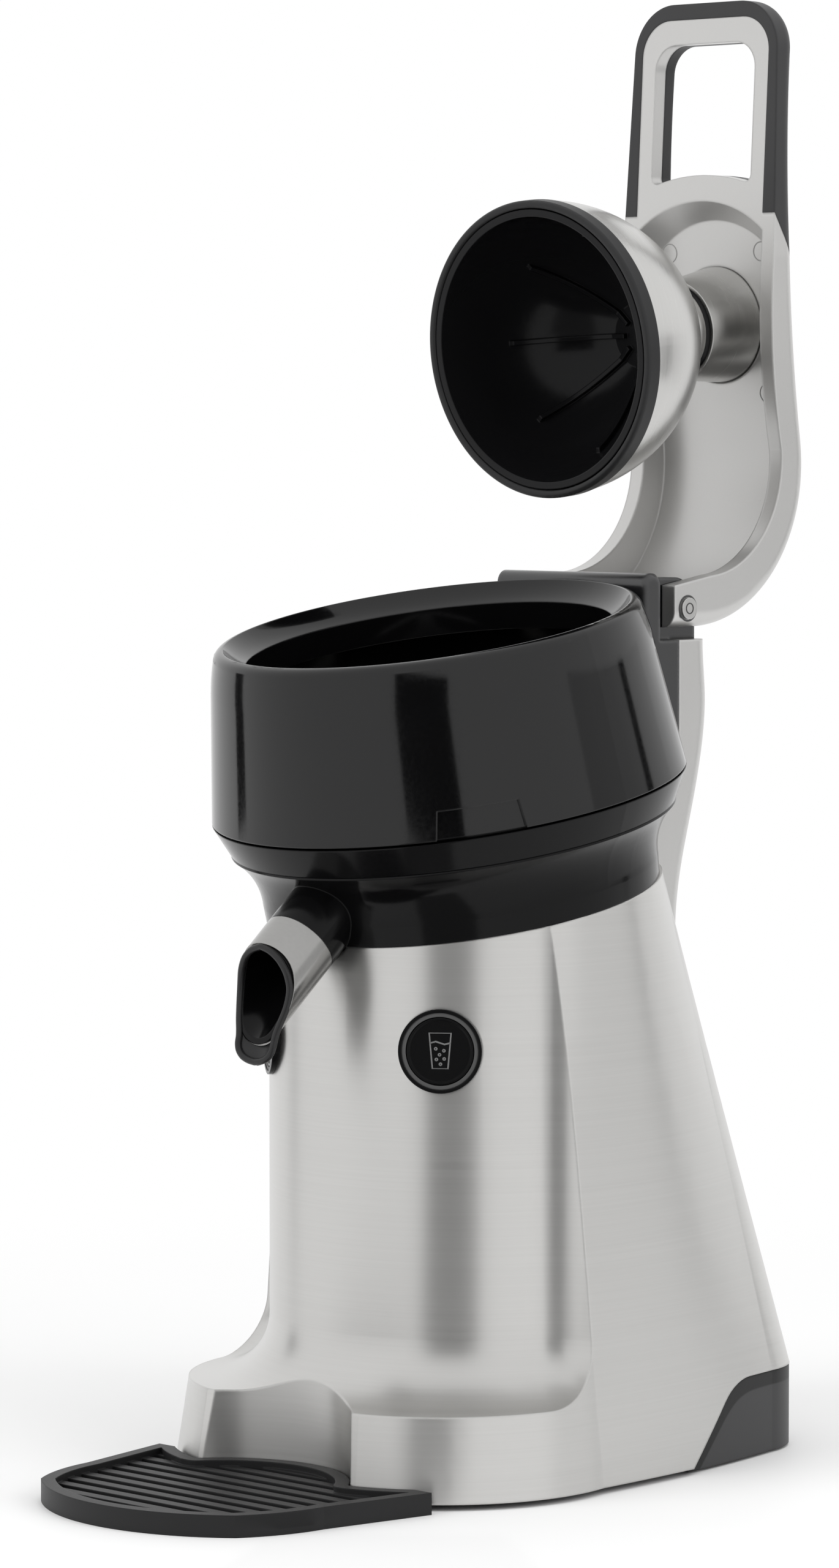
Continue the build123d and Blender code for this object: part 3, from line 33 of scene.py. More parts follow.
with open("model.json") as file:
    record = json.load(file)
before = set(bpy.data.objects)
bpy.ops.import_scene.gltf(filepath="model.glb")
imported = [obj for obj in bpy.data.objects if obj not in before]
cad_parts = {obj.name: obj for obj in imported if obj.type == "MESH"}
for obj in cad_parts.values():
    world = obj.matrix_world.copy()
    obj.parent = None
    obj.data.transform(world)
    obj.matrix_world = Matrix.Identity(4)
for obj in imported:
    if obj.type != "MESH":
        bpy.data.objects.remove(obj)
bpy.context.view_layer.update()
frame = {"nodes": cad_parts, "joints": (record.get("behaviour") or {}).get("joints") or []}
joints = {joint["name"]: joint for joint in frame["joints"]}

ACROSS = np.array((1.0, 0.0, 0.0))
UPRIGHT = np.array((0.0, 0.0, 1.0))
SIDES = (("right", 1.0), ("left", -1.0))
WHITE = (1.0, 1.0, 1.0, 1.0)
BLACK = (0.0, 0.0, 0.0, 1.0)

# Lengths are in metres, but for the spout's mouth. Two places come from the joints.
PIVOT = np.array(joints["arm_swing"]["pos_m"])
BALL = np.array(joints["cup_tilt"]["pos_m"])

# The middle of a noise, about which gloss goes up and down
NOISE_MIDDLE = 0.5
# Brushed metal: its darkest and lightest tone, how far the gloss follows the tone, the depth of its
# grain and the scale of its broad grain
GRAIN_TONES = (0.9, 1.07)
GRAIN_GLOSS = 0.12
GRAIN_DEPTH = 0.0004
BROAD_GRAIN = 0.12
# How far the shell's level grain draws reflections out, and the turn that draws them upright
GRAIN_PULL = 0.75
GRAIN_TURN = 0.25
# Castings: share of metal, tones, how far the gloss follows their specks, and the specks' depth
CAST_METAL = 0.8
CAST_TONES = (0.92, 1.06)
CAST_GLOSS = 0.1
CAST_DEPTH = 0.0002
# Plastic: tones, how far the gloss follows its specks and clouds, and the depth of its specks
MOULDED_TONES = (0.85, 1.18)
SPECK_GLOSS = 0.12
CLOUD_GLOSS = 0.06
SPECK_DEPTH = 0.0003
# Samples of the rounding of edges
EDGE_SAMPLES = 6
# Colours inside the body and at the hinge
INNER_GREY = (0.16, 0.16, 0.165)
BOARD_GREEN = (0.015, 0.11, 0.04)
BUSH_BRASS = (0.62, 0.44, 0.18)
HINGE_DARK = (0.05, 0.05, 0.05)

# The heel's edges in side view: its top, a point on its sloping front and how far that leans back.
# A darker band of painted shade runs along them and stands in for the shade of a chamfer. The face
# starts the band's width inside them, and the corner between the two is round.
HEEL_TOP = np.array((0.0, 0.0, 0.0276))
HEEL_FRONT = np.array((0.0, 0.0365, -0.005))
HEEL_SLOPE = math.radians(44.5)
HEEL_SHADE_BAND = (0.0044, 0.0052)
HEEL_CORNER = 0.012
HEEL_TONES = (1.0, 1.4)
# Tone of the painted shade along the heel's edges, as a share of the grey
HEEL_SHADE_TONE = 0.3

# The column and its buttons: the turn of a button from the front, and how far its cap stands out
COLUMN_RADIUS = 0.0635
COLUMN_MIDDLE = 0.0152
BUTTON_HEIGHT = 0.1414
BUTTON_TURN = math.radians(37.0)
CAP_FACE = 0.0004
# The button's tumbler: its outline, the level in it and the drops, across and up from the middle
TUMBLER = np.array(((-0.0035, 0.0058), (-0.0025, -0.0055), (0.0025, -0.0055), (0.0035, 0.0058)))
TUMBLER_LEVEL = np.array(
    ((-0.0032, 0.0026), (-0.0014, 0.0031), (0.0014, 0.0022), (0.0032, 0.0027))
)
TUMBLER_DROPS = (
    (-0.0014, 0.0008), (0.0012, 0.0002), (-0.0002, -0.0011),
    (-0.0012, -0.0026), (0.0013, -0.0024), (0.0001, -0.0041),
)
# Half the width of the tumbler's lines and of its drops' rings, their height, and the drops' radius
TUMBLER_LINE = 0.00026
DROP_LINE = 0.0002
MARK_HEIGHT = 0.00012
DROP_RADIUS = 0.00038
DROP_POINTS = 14

# The spout: its slope, where it leaves the neck, and the directions along it and up from it
SPOUT_SLOPE = math.radians(40.0)
SPOUT_JOINT = np.array((0.0, -0.0604, 0.1748))
SPOUT_OUT = np.array((0.0, -math.cos(SPOUT_SLOPE), -math.sin(SPOUT_SLOPE)))
SPOUT_UP = np.array((0.0, -math.sin(SPOUT_SLOPE), math.cos(SPOUT_SLOPE)))
# Half of the rim of the spout's mouth, from its top round to the tip of the pouring lip, in
# millimetres: along the spout, to the side and up
MOUTH = np.array(
    (
        (12.9, 0.0, 11.2), (13.6, 4.3, 10.3), (15.0, 7.9, 7.9), (17.0, 10.3, 4.3),
        (19.8, 11.2, 0.0), (24.3, 10.6, -3.8), (28.8, 9.2, -6.6), (31.2, 8.3, -8.3),
        (33.0, 7.9, -9.7), (34.8, 7.9, -11.0), (36.4, 7.3, -12.4), (37.7, 5.5, -13.7),
        (38.4, 2.9, -14.5), (38.6, 0.0, -14.8),
    )
)
MILLIMETRE = 0.001
RIM_RADIUS = 0.00115
RIM_POINTS = 60
RIM_SIDES = 12
# The pouring lip: the first place of the mouth that it reaches, its sag there and at the tip in
# millimetres, its wall, and its points along and across
LIP_START = 6
LIP_SAG = (3.4, 0.7)
LIP_WALL = 0.0011
LIP_POINTS = 40
LIP_COLUMNS = 17

# Marks left by the mould in the arm's channel, to the side and up
MOULD_MARKS = (
    (0.0205, 0.398), (-0.0205, 0.398), (0.0205, 0.35),
    (-0.0205, 0.35), (-0.0205, 0.326), (0.0205, 0.326),
)
# The channel's floor in side view: three places of its arc, back and up
CHANNEL = np.array(((0.1459, 0.334), (0.1396, 0.413), (0.1441, 0.4823)))
# A mould mark's radius, how deep it sits in the floor, and its half width and height
MOULD_RADIUS = 0.0032
MOULD_SINK = 0.0001
MOULD_RING = (0.0002, 0.00025)
MOULD_POINTS = 36

# Rings at the hinge pin's ends: name, place to the side, radius, half width and height, and points
HINGE_RINGS = (
    ("hinge_ring_", 0.034, 0.0041, (0.00035, 0.00022), 40),
    ("pin_ring_", 0.0349, 0.0017, (0.0002, 0.00012), 32),
)
# The share of a ring's height that its corners take
CORNER_SHARE = 0.35

# The cup's axis at rest: how far it droops to the front, and the directions along it and up from it
CUP_DROOP = math.radians(5.9)
CUP_BACK = np.array((0.0, math.cos(CUP_DROOP), math.sin(CUP_DROOP)))
CUP_UP = np.array((0.0, -math.sin(CUP_DROOP), math.cos(CUP_DROOP)))
# Sleeve round the cup's neck: how far ahead of the ball it starts, its radius there, and its
# section, out from that radius and back along the cup's axis
SLEEVE_START = 0.0157
SLEEVE_RADIUS = 0.015
SLEEVE_PROFILE = np.array(
    (
        (-0.0017, 0.0), (-0.0017, 0.0071), (-0.00004, 0.0097), (0.0002, 0.00985),
        (0.00045, 0.0097), (0.0006, 0.0093), (0.0002, 0.0),
    )
)
SLEEVE_POINTS = 96

# Rays that see the world and the floor as plain white
SEEN_RAYS = ("Is Camera Ray", "Is Glossy Ray", "Is Transmission Ray")
SENSOR_WIDTH = 36.0
# Soft panels: name, place, width, height and share of the power, and the place they all aim at
PANELS = (
    ("panel_left", (-0.55, -1.55, 0.75), 1.1, 1.5, 1.0),
    ("panel_right", (1.65, 0.15, 0.7), 1.1, 1.5, 0.8),
    ("panel_top", (0.2, 0.1, 1.7), 1.4, 1.4, 0.8),
)
PANEL_AIM = (0.0, 0.0, 0.22)
# Cards: name, degrees from the camera's side to the right, half their spread, foot and tone
CARDS = (
    ("card_camera", -7.0, 13.0, 0.03, 0.01),
    ("card_left", -118.0, 4.0, 0.03, 0.04),
    ("card_right", 109.0, 2.5, 0.03, 0.05),
    ("card_back", 88.0, 18.5, 0.03, 0.68),
    ("card_far", 121.0, 9.5, 0.03, 0.9),
)
CARD_REACH = 1.5
CARD_HIGH = 0.5
CARD_POINTS = 9
# A card on the floor before the press: its turn, half spread, how near it comes, its lift and tone
RUNNER_TURN = -5.0
RUNNER_SPREAD = 16.0
RUNNER_NEAR = 0.12
RUNNER_LIFT = 0.002
RUNNER_TONE = 0.3
# The floor: half its width, its tone and gloss, and where the shadow on it fades out
FLOOR_REACH = 6.0
FLOOR_TONE = (0.9, 0.9, 0.9, 1.0)
FLOOR_GLOSS = 0.6
FLOOR_FADE = (0.2, 0.6)


class Shade:
    """A node's socket as a value: sums, differences and products of it add Math nodes."""

    def __init__(self, tree, socket):
        self.tree = tree
        self.socket = socket

    def math(self, operation, *values):
        """A Math node of that operation on the values."""
        return self.tree.node("ShaderNodeMath", {"operation": operation}, dict(enumerate(values)))

    def __add__(self, other):
        return self.math("ADD", self, other)

    def __radd__(self, other):
        return self.math("ADD", other, self)

    def __sub__(self, other):
        return self.math("SUBTRACT", self, other)

    def __rsub__(self, other):
        return self.math("SUBTRACT", other, self)

    def __mul__(self, other):
        return self.math("MULTIPLY", self, other)

    def __rmul__(self, other):
        return self.math("MULTIPLY", other, self)

    def step(self, low, high):
        """A smooth ramp from 0 at low to 1 at high."""
        settings = {"interpolation_type": "SMOOTHSTEP"}
        inputs = {"Value": self, "From Min": low, "From Max": high}
        return self.tree.node("ShaderNodeMapRange", settings, inputs)


class ShadeTree:
    """A node tree, with one method that adds any node to it."""

    def __init__(self, tree):
        self.tree = tree

    def node(self, kind, settings, inputs, output=0):
        """A node of that type: its settings come first, then the values or links of its sockets."""
        made = self.tree.nodes.new(kind)
        for key, value in settings.items():
            setattr(made, key, value)
        for key, value in inputs.items():
            if isinstance(value, Shade):
                self.link(value, made.inputs[key])
            else:
                made.inputs[key].default_value = value
        return Shade(self, made.outputs[output])

    def link(self, value, socket):
        """Links a value to a socket."""
        self.tree.links.new(value.socket, socket)

    def seen(self):
        """1 for rays of the camera, of reflections and through clear things, 0 for the rest."""
        first, *others = [self.node("ShaderNodeLightPath", {}, {}, ray) for ray in SEEN_RAYS]
        for other in others:
            first = first.math("MAXIMUM", first, other)
        return first


class Paint(ShadeTree):
    """One material: a Principled shader with constants on its sockets, and what feeds it."""

    def __init__(self, name, **constants):
        self.material = bpy.data.materials.new(name)
        self.material.use_nodes = True
        super().__init__(self.material.node_tree)
        self.tree.nodes.clear()
        self.shader = self.tree.nodes.new("ShaderNodeBsdfPrincipled")
        self.surface = self.tree.nodes.new("ShaderNodeOutputMaterial").inputs["Surface"]
        self.tree.links.new(self.shader.outputs["BSDF"], self.surface)
        for socket, value in constants.items():
            self.shader.inputs[socket.replace("_", " ")].default_value = value
        self.spot = self.node("ShaderNodeTexCoord", {}, {}, "Object")
        self.face = None

    def feed(self, socket, value):
        """Links a value to one of the shader's sockets."""
        self.link(value, self.shader.inputs[socket])

    def vector(self, operation, *values, output=0):
        """A Vector Math node of that operation on the values."""
        inputs = dict(enumerate(values))
        return self.node("ShaderNodeVectorMath", {"operation": operation}, inputs, output)

    def along(self, direction, centre):
        """How far a point lies along a direction from a centre, in metres."""
        moved = self.vector("SUBTRACT", self.spot, tuple(centre))
        return self.vector("DOT_PRODUCT", moved, tuple(direction), output="Value")

    def noise(self, vector, scale, detail=2.0, rough=0.5):
        """Soft noise from 0 to 1 over a vector."""
        inputs = {"Vector": vector, "Scale": scale, "Detail": detail, "Roughness": rough}
        return self.node("ShaderNodeTexNoise", {}, inputs, "Fac")

    def grain(self, scales, detail, rough=0.5):
        """Soft noise over object coordinates that are stretched along each axis."""
        return self.noise(self.vector("MULTIPLY", self.spot, tuple(scales)), 1.0, detail, rough)

    def blend(self, amount, first, second):
        """A colour between two, by an amount from 0 to 1."""
        inputs = {0: amount, 6: first, 7: second}
        return self.node("ShaderNodeMix", {"data_type": "RGBA"}, inputs, 2)

    def colour_face(self, amount, colour, tones):
        """The colour from its darker to its lighter tone by an amount, as Base Color."""
        dark, light = tones
        self.face = self.blend(amount, rgba(colour, dark), rgba(colour, light))
        self.feed("Base Color", self.face)

    def bump(self, height, strength, distance, edge):
        """Turns a height into a normal, with edges rounded over a small radius, for the shader."""
        rounded = self.node("ShaderNodeBevel", {"samples": EDGE_SAMPLES}, {"Radius": edge})
        inputs = {
            "Height": height, "Strength": strength, "Distance": distance, "Normal": rounded,
        }
        self.feed("Normal", self.node("ShaderNodeBump", {}, inputs))


def rgba(colour, factor=1.0):
    """A colour with full alpha, made lighter or darker by a factor."""
    return tuple(min(1.0, part * factor) for part in colour[:3]) + (1.0,)


def finish_nodes(paint, *names):
    """Puts a paint on the material slots of CAD nodes."""
    for name in names:
        mesh = frame["nodes"][name].data
        mesh.materials.clear()
        mesh.materials.append(paint.material)


def brushed(name, colour, rough, grain, bump=0.03, edge=0.0004, **constants):
    """Metal with fine grain: noise stretched along the grain moves its tone, gloss and height."""
    paint = Paint(name, Metallic=1.0, **constants)
    fine = paint.grain(grain, detail=3.0, rough=0.6)
    broad = paint.grain([BROAD_GRAIN * part for part in grain], detail=2.0)
    cloud = paint.noise(paint.spot, scale=14.0, detail=2.0)
    tone = 0.6 * fine + 0.2 * broad + 0.2 * cloud
    paint.colour_face(tone, colour, GRAIN_TONES)
    paint.feed("Roughness", rough + GRAIN_GLOSS * (tone - NOISE_MIDDLE))
    paint.bump(fine, bump, GRAIN_DEPTH, edge)
    return paint


def cast(name, colour, rough, bump, edge):
    """Satin cast metal: specks and soft clouds in its tone and gloss, and specks in its height."""
    paint = Paint(name, Metallic=CAST_METAL)
    speck = paint.noise(paint.spot, scale=2600.0, detail=2.0, rough=0.6)
    cloud = paint.noise(paint.spot, scale=16.0, detail=3.0)
    paint.colour_face(0.5 * speck + 0.5 * cloud, colour, CAST_TONES)
    gloss = rough + CAST_GLOSS * (speck - NOISE_MIDDLE) + CLOUD_GLOSS * (cloud - NOISE_MIDDLE)
    paint.feed("Roughness", gloss)
    paint.bump(speck, bump, CAST_DEPTH, edge)
    return paint


def moulded(name, colour, rough, speck, bump=0.02, shine=0.5, edge=0.0006, tones=MOULDED_TONES):
    """Plastic or rubber: fine specks in its height and gloss, and a faint broad change of tone."""
    paint = Paint(name, Specular_IOR_Level=shine)
    grain = paint.noise(paint.spot, scale=speck, detail=3.0, rough=0.6)
    cloud = paint.noise(paint.spot, scale=22.0, detail=3.0)
    paint.colour_face(cloud, colour, tones)
    gloss = rough + SPECK_GLOSS * (grain - NOISE_MIDDLE) + CLOUD_GLOSS * (cloud - NOISE_MIDDLE)
    paint.feed("Roughness", gloss)
    paint.bump(grain, bump, SPECK_DEPTH, edge)
    return paint


def mesh_piece(name, points, faces, paint, body):
    """A mesh from arrays of points and faces, with its paint, that rides on a body."""
    mesh = bpy.data.meshes.new(name)
    mesh.from_pydata(points.reshape(-1, 3).tolist(), [], faces)
    mesh.polygons.foreach_set("use_smooth", np.ones(len(mesh.polygons), dtype=bool))
    mesh.materials.append(paint.material)
    piece = bpy.data.objects.new(name, mesh)
    bpy.context.scene.collection.objects.link(piece)
    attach(piece, body)


def grid_faces(rows, columns, wrap_rows, wrap_columns, first=0):
    """Quads over a grid of points; wrap joins the last row or column to the first."""
    row = np.arange(rows if wrap_rows else rows - 1)
    column = np.arange(columns if wrap_columns else columns - 1)
    row, column = np.meshgrid(row, column, indexing="ij")
    here, below = row * columns, (row + 1) % rows * columns
    beside = (column + 1) % columns
    corners = (here + column, below + column, below + beside, here + beside)
    return (np.stack(corners, -1).reshape(-1, 4) + first).tolist()


def carried(path, out, profile, closed):
    """A profile carried along a path: each point is the path plus the profile's first part times
    the side, which is the path's own direction crossed with out, plus its second part times
    out."""
    ahead = np.roll(path, -1, 0) - np.roll(path, 1, 0)
    if not closed:
        ahead[0] = path[1] - path[0]
        ahead[-1] = path[-1] - path[-2]
    side = np.cross(ahead, out)
    side /= np.linalg.norm(side, axis=1)[:, None]
    out = np.broadcast_to(out, path.shape)
    points = path[:, None] + profile[None, :, :1] * side[:, None]
    points = points + profile[None, :, 1:] * out[:, None]
    faces = grid_faces(len(path), len(profile), closed, True)
    if not closed:
        ends = np.arange(len(profile))
        faces += [ends.tolist(), (ends[::-1] + (len(path) - 1) * len(profile)).tolist()]
    return points, faces


def tube(path, radius, count):
    """A round bead along a closed path: a circle square to the path's direction at each point."""
    ahead = np.roll(path, -1, 0) - np.roll(path, 1, 0)
    ahead /= np.linalg.norm(ahead, axis=1)[:, None]
    side = path - path.mean(0)
    side -= (side * ahead).sum(1)[:, None] * ahead
    side /= np.linalg.norm(side, axis=1)[:, None]
    rise = np.cross(ahead, side)
    turn = np.linspace(0.0, 2.0 * math.pi, count, endpoint=False)[None, :, None]
    points = path[:, None] + radius * (np.cos(turn) * side[:, None] + np.sin(turn) * rise[:, None])
    return points, grid_faces(len(path), count, True, True)


def sheet(top, shift):
    """A closed sheet: a grid of points, its copy moved by a shift, and walls along the border."""
    rows, columns = top.shape[:2]
    size = rows * columns
    faces = grid_faces(rows, columns, False, False)
    faces += [quad[::-1] for quad in grid_faces(rows, columns, False, False, size)]
    place = np.arange(size).reshape(rows, columns)
    rim = np.concatenate((place[0, :-1], place[:-1, -1], place[-1, :0:-1], place[:0:-1, 0]))
    faces += [[a, b, b + size, a + size] for a, b in zip(rim.tolist(), np.roll(rim, -1).tolist())]
    return np.stack((top, top + shift)), faces


def ring_profile(half_width, height):
    """A low band with rounded upper corners: half its width either side, and its height."""
    corner = height * CORNER_SHARE
    return np.array(
        (
            (-half_width, 0.0), (-half_width, height - corner), (-half_width + corner, height),
            (half_width - corner, height), (half_width, height - corner), (half_width, 0.0),
        )
    )


def circle(centre, first, second, radius, count):
    """Points of a circle: the centre plus radius times cosine and sine along two directions."""
    turn = np.linspace(0.0, 2.0 * math.pi, count, endpoint=False)[:, None]
    return centre + radius * (np.cos(turn) * first + np.sin(turn) * second)


class PressFinish(bpy.types.PropertyGroup):
    """Colours and gloss of the press."""

    steel: bpy.props.FloatVectorProperty(
        name="Steel",
        description="Colour of the brushed steel",
        subtype="COLOR",
        size=3,
        default=(0.61, 0.605, 0.592),
    )
    silver: bpy.props.FloatVectorProperty(
        name="Silver",
        description="Colour of the satin cast arm",
        subtype="COLOR",
        size=3,
        default=(0.58, 0.575, 0.565),
    )
    black: bpy.props.FloatVectorProperty(
        name="Black",
        description="Colour of the gloss black plastic",
        subtype="COLOR",
        size=3,
        default=(0.0025, 0.0025, 0.0027),
    )
    grey: bpy.props.FloatVectorProperty(
        name="Dark grey",
        description="Colour of the matte dark plastic",
        subtype="COLOR",
        size=3,
        default=(0.032, 0.032, 0.033),
    )
    mark: bpy.props.FloatVectorProperty(
        name="Mark",
        description="Colour of the button marks",
        subtype="COLOR",
        size=3,
        default=(0.2, 0.2, 0.2),
    )
    steel_gloss: bpy.props.FloatProperty(
        name="Steel roughness",
        description="How dull the brushed steel is",
        subtype="FACTOR",
        default=0.35,
        min=0.05,
        max=0.8,
    )


class PressStage(bpy.types.PropertyGroup):
    """Camera and light."""

    lens: bpy.props.FloatProperty(
        name="Lens",
        description="Focal length on a 36 mm frame",
        unit="CAMERA",
        default=130.7,
    )
    camera: bpy.props.FloatVectorProperty(
        name="Camera",
        description="Place of the camera",
        subtype="XYZ",
        unit="LENGTH",
        default=(1.27872, -1.33326, 0.34202),
    )
    aim: bpy.props.FloatVectorProperty(
        name="Aim",
        description="Direction that the camera looks in",
        subtype="DIRECTION",
        default=(-0.6922, 0.71884, -0.06434),
    )
    fill: bpy.props.FloatProperty(
        name="Fill",
        description="Light from all round",
        default=0.55,
        min=0.0,
        max=2.0,
    )
    panel: bpy.props.FloatProperty(
        name="Panels",
        description="Power of each soft panel",
        unit="POWER",
        default=16.0,
        min=0.0,
    )


class PressOperator(bpy.types.Operator):
    """Base of the press operators."""

    bl_options = {"REGISTER", "UNDO"}


class PRESS_OT_steel(PressOperator):
    """Brushed steel for the body, cup, boss, spout and strainer."""

    bl_idname = "press.steel"
    bl_label = "Steel"

    def execute(self, context):
        look = context.scene.press_finish
        shell = brushed(
            "shell_steel", look.steel, rough=look.steel_gloss, grain=(9.0, 9.0, 1500.0),
            edge=0.0012, Anisotropic=GRAIN_PULL, Anisotropic_Rotation=GRAIN_TURN,
        )
        dome = brushed("dome_steel", look.steel, rough=0.26, grain=(40.0, 1500.0, 40.0), bump=0.02)
        boss = brushed(
            "turned_steel", look.steel, rough=0.26, grain=(30.0, 1800.0, 30.0), bump=0.01
        )
        # Painted shade: the spout's steel is darkened to 0.6 of the steel and stands in for the
        # darker reflections on it
        spout = brushed(
            "spout_steel", rgba(look.steel, 0.6), rough=0.2, grain=(200.0, 900.0, 900.0), bump=0.015
        )
        strainer = brushed("strainer_steel", look.steel, rough=0.3, grain=(300.0, 300.0, 300.0))
        finish_nodes(shell, "body_shell")
        finish_nodes(dome, "press_dome")
        finish_nodes(boss, "cup_socket", "cup_neck")
        finish_nodes(spout, "spout_sleeve")
        finish_nodes(strainer, "strainer")
        return {"FINISHED"}


class PRESS_OT_silver(PressOperator):
    """Satin silver for the cast arm and spine."""

    bl_idname = "press.silver"
    bl_label = "Silver castings"

    def execute(self, context):
        look = context.scene.press_finish
        for slot, node in (("arm_silver", "lever_arm"), ("spine_silver", "rear_spine")):
            finish_nodes(cast(slot, look.silver, rough=0.31, bump=0.04, edge=0.0012), node)
        return {"FINISHED"}


class PRESS_OT_black(PressOperator):
    """Gloss black for the bowl, collar, spout lip, liner and buttons, satin for hinge and ball."""

    bl_idname = "press.black"
    bl_label = "Black plastic"

    def execute(self, context):
        look = context.scene.press_finish
        bowl = moulded("bowl_black", look.black, rough=0.09, speck=900.0, bump=0.003, shine=0.44)
        collar = moulded(
            "collar_black", look.black, rough=0.14, speck=900.0, bump=0.005, shine=0.16
        )
        liner = moulded(
            "liner_black", rgba(look.black, 2.6), rough=0.16, speck=700.0, bump=0.005, shine=0.16
        )
        # Painted light: the hinge's black is four times lighter and stands in for the light on its
        # top face
        hinge = moulded(
            "hinge_black", rgba(look.black, 4.0), rough=0.22, speck=1400.0, bump=0.02, shine=0.9,
            edge=0.002,
        )
        ball = moulded("ball_black", look.black, rough=0.3, speck=1400.0, bump=0.02, shine=0.2)
        reamer = moulded(
            "reamer_black", rgba(look.black, 2.0), rough=0.2, speck=900.0, bump=0.008, shine=0.3
        )
        button = moulded(
            "button_black", look.black, rough=0.2, speck=1500.0, bump=0.008, shine=0.16
        )
        ring = moulded(
            "button_grey", rgba(look.mark, 0.35), rough=0.4, speck=1500.0, bump=0.01, shine=0.2
        )
        finish_nodes(bowl, "bowl_cover")
        finish_nodes(collar, "neck_collar", "bowl_ring", "spout_lip")
        finish_nodes(liner, "cup_liner")
        finish_nodes(hinge, "hinge_cover")
        finish_nodes(ball, "cup_ball")
        finish_nodes(reamer, "reamer")
        for side, _ in SIDES:
            finish_nodes(button, "button_bezel_" + side, "button_cap_" + side)
            finish_nodes(ring, "button_light_" + side)
        return {"FINISHED"}


class PRESS_OT_grey(PressOperator):
    """Matte dark grey for the grip, heel and tray, and rubber for the cup's rim and feet."""

    bl_idname = "press.grey"
    bl_label = "Dark grey plastic"

    def execute(self, context):
        look = context.scene.press_finish
        grip = moulded(
            "grip_grey", rgba(look.grey, 0.8), rough=0.46, speck=2200.0, bump=0.04, shine=0.4,
            edge=0.0015,
        )
        heel = self.painted_shade_heel(look)
        tray = moulded(
            "tray_grey", rgba(look.grey, 0.45), rough=0.46, speck=2200.0, bump=0.05, shine=0.2
        )
        rim = moulded(
            "rim_rubber", rgba(look.grey, 0.5), rough=0.42, speck=1800.0, bump=0.03, shine=0.25
        )
        foot = moulded(
            "foot_rubber", rgba(look.grey, 0.7), rough=0.7, speck=1800.0, bump=0.05, shine=0.3
        )
        plate = moulded("plate_black", rgba(look.grey, 0.6), rough=0.6, speck=1500.0, bump=0.05)
        finish_nodes(grip, "handle_grip")
        finish_nodes(heel, "rear_heel")
        finish_nodes(tray, "drip_tray")
        finish_nodes(rim, "cup_rim")
        finish_nodes(foot, "rubber_feet", "shaft_seal", "cord_inlet")
        finish_nodes(plate, "base_plate")
        return {"FINISHED"}

    def painted_shade_heel(self, look):
        """The heel's plastic with a darker band of painted shade, standing in for the shade of a
        chamfer,
        along its top and its sloping front edge: how far a point lies inside is the soft smaller one
        of its drop below the top and its distance behind the slope."""
        paint = moulded(
            "heel_grey", look.grey, rough=0.46, speck=2200.0, bump=0.04, shine=0.25, edge=0.0012,
            tones=HEEL_TONES,
        )
        drop = paint.along(-UPRIGHT, HEEL_TOP)
        slope = (0.0, math.cos(HEEL_SLOPE), -math.sin(HEEL_SLOPE))
        inside = drop.math("SMOOTH_MIN", drop, paint.along(slope, HEEL_FRONT), HEEL_CORNER)
        # Painted shade: the darker band along the heel's top and sloping front stands in for a
        # chamfer's shade
        border = rgba(look.grey, HEEL_SHADE_TONE)
        paint.feed("Base Color", paint.blend(inside.step(*HEEL_SHADE_BAND), border, paint.face))
        return paint


class PRESS_OT_drive(PressOperator):
    """Finishes for the drive and board inside the body."""

    bl_idname = "press.drive"
    bl_label = "Drive"

    def execute(self, context):
        look = context.scene.press_finish
        even = (900.0, 900.0, 900.0)
        plastic = moulded("inner_plastic", INNER_GREY, rough=0.5, speck=1200.0, bump=0.04)
        board = moulded("board_green", BOARD_GREEN, rough=0.4, speck=900.0, bump=0.04)
        steel = brushed("machine_steel", look.steel, rough=0.3, grain=even)
        brass = brushed("bush_brass", BUSH_BRASS, rough=0.3, grain=even)
        finish_nodes(plastic, "drive_deck", "gear_case", "drive_gear")
        finish_nodes(plastic, "button_switch_right", "button_switch_left")
        finish_nodes(board, "control_board")
        finish_nodes(steel, "drive_shaft", "upper_bearing", "lower_bearing", "motor_pinion")
        finish_nodes(steel, "rotor", "stator", "motor_can", "motor_cap", "hinge_pin")
        finish_nodes(steel, "deck_screws", "motor_screws", "base_screws", "socket_screw")
        finish_nodes(brass, "hinge_bushes")
        return {"FINISHED"}


class PRESS_OT_button_marks(PressOperator):
    """A plain tumbler on each push button, drawn as thin raised lines."""

    bl_idname = "press.button_marks"
    bl_label = "Button marks"

    def execute(self, context):
        grey = context.scene.press_finish.mark
        paint = moulded("mark_grey", grey, rough=0.45, speck=1500.0, bump=0.01)
        for name, hand in SIDES:
            angle = hand * BUTTON_TURN
            out = np.array((math.sin(angle), -math.cos(angle), 0.0))
            across = np.array((math.cos(angle), math.sin(angle), 0.0))
            centre = (COLUMN_RADIUS + CAP_FACE) * out + (0.0, COLUMN_MIDDLE, BUTTON_HEIGHT)
            points, faces = self.tumbler(centre, across, out)
            mesh_piece("button_mark_" + name, points, faces, paint, "button_" + name)
        return {"FINISHED"}

    def tumbler(self, centre, across, out):
        """The outline and level of a tumbler, and drops in it, as one mesh: each stroke is a low
        band carried along its line, and each drop a small ring."""
        line = ring_profile(TUMBLER_LINE, MARK_HEIGHT)
        ring = ring_profile(DROP_LINE, MARK_HEIGHT)
        strokes = []
        for places, closed in ((TUMBLER, True), (TUMBLER_LEVEL, False)):
            path = centre + places[:, :1] * across + places[:, 1:] * UPRIGHT
            strokes.append((path, line, closed))
        for x, z in TUMBLER_DROPS:
            middle = centre + x * across + z * UPRIGHT
            path = circle(middle, across, UPRIGHT, DROP_RADIUS, DROP_POINTS)
            strokes.append((path, ring, True))
        points, faces, total = [], [], 0
        for path, profile, closed in strokes:
            made, quads = carried(path, out, profile, closed)
            points.append(made.reshape(-1, 3))
            faces += [[corner + total for corner in quad] for quad in quads]
            total += len(points[-1])
        return np.concatenate(points), faces


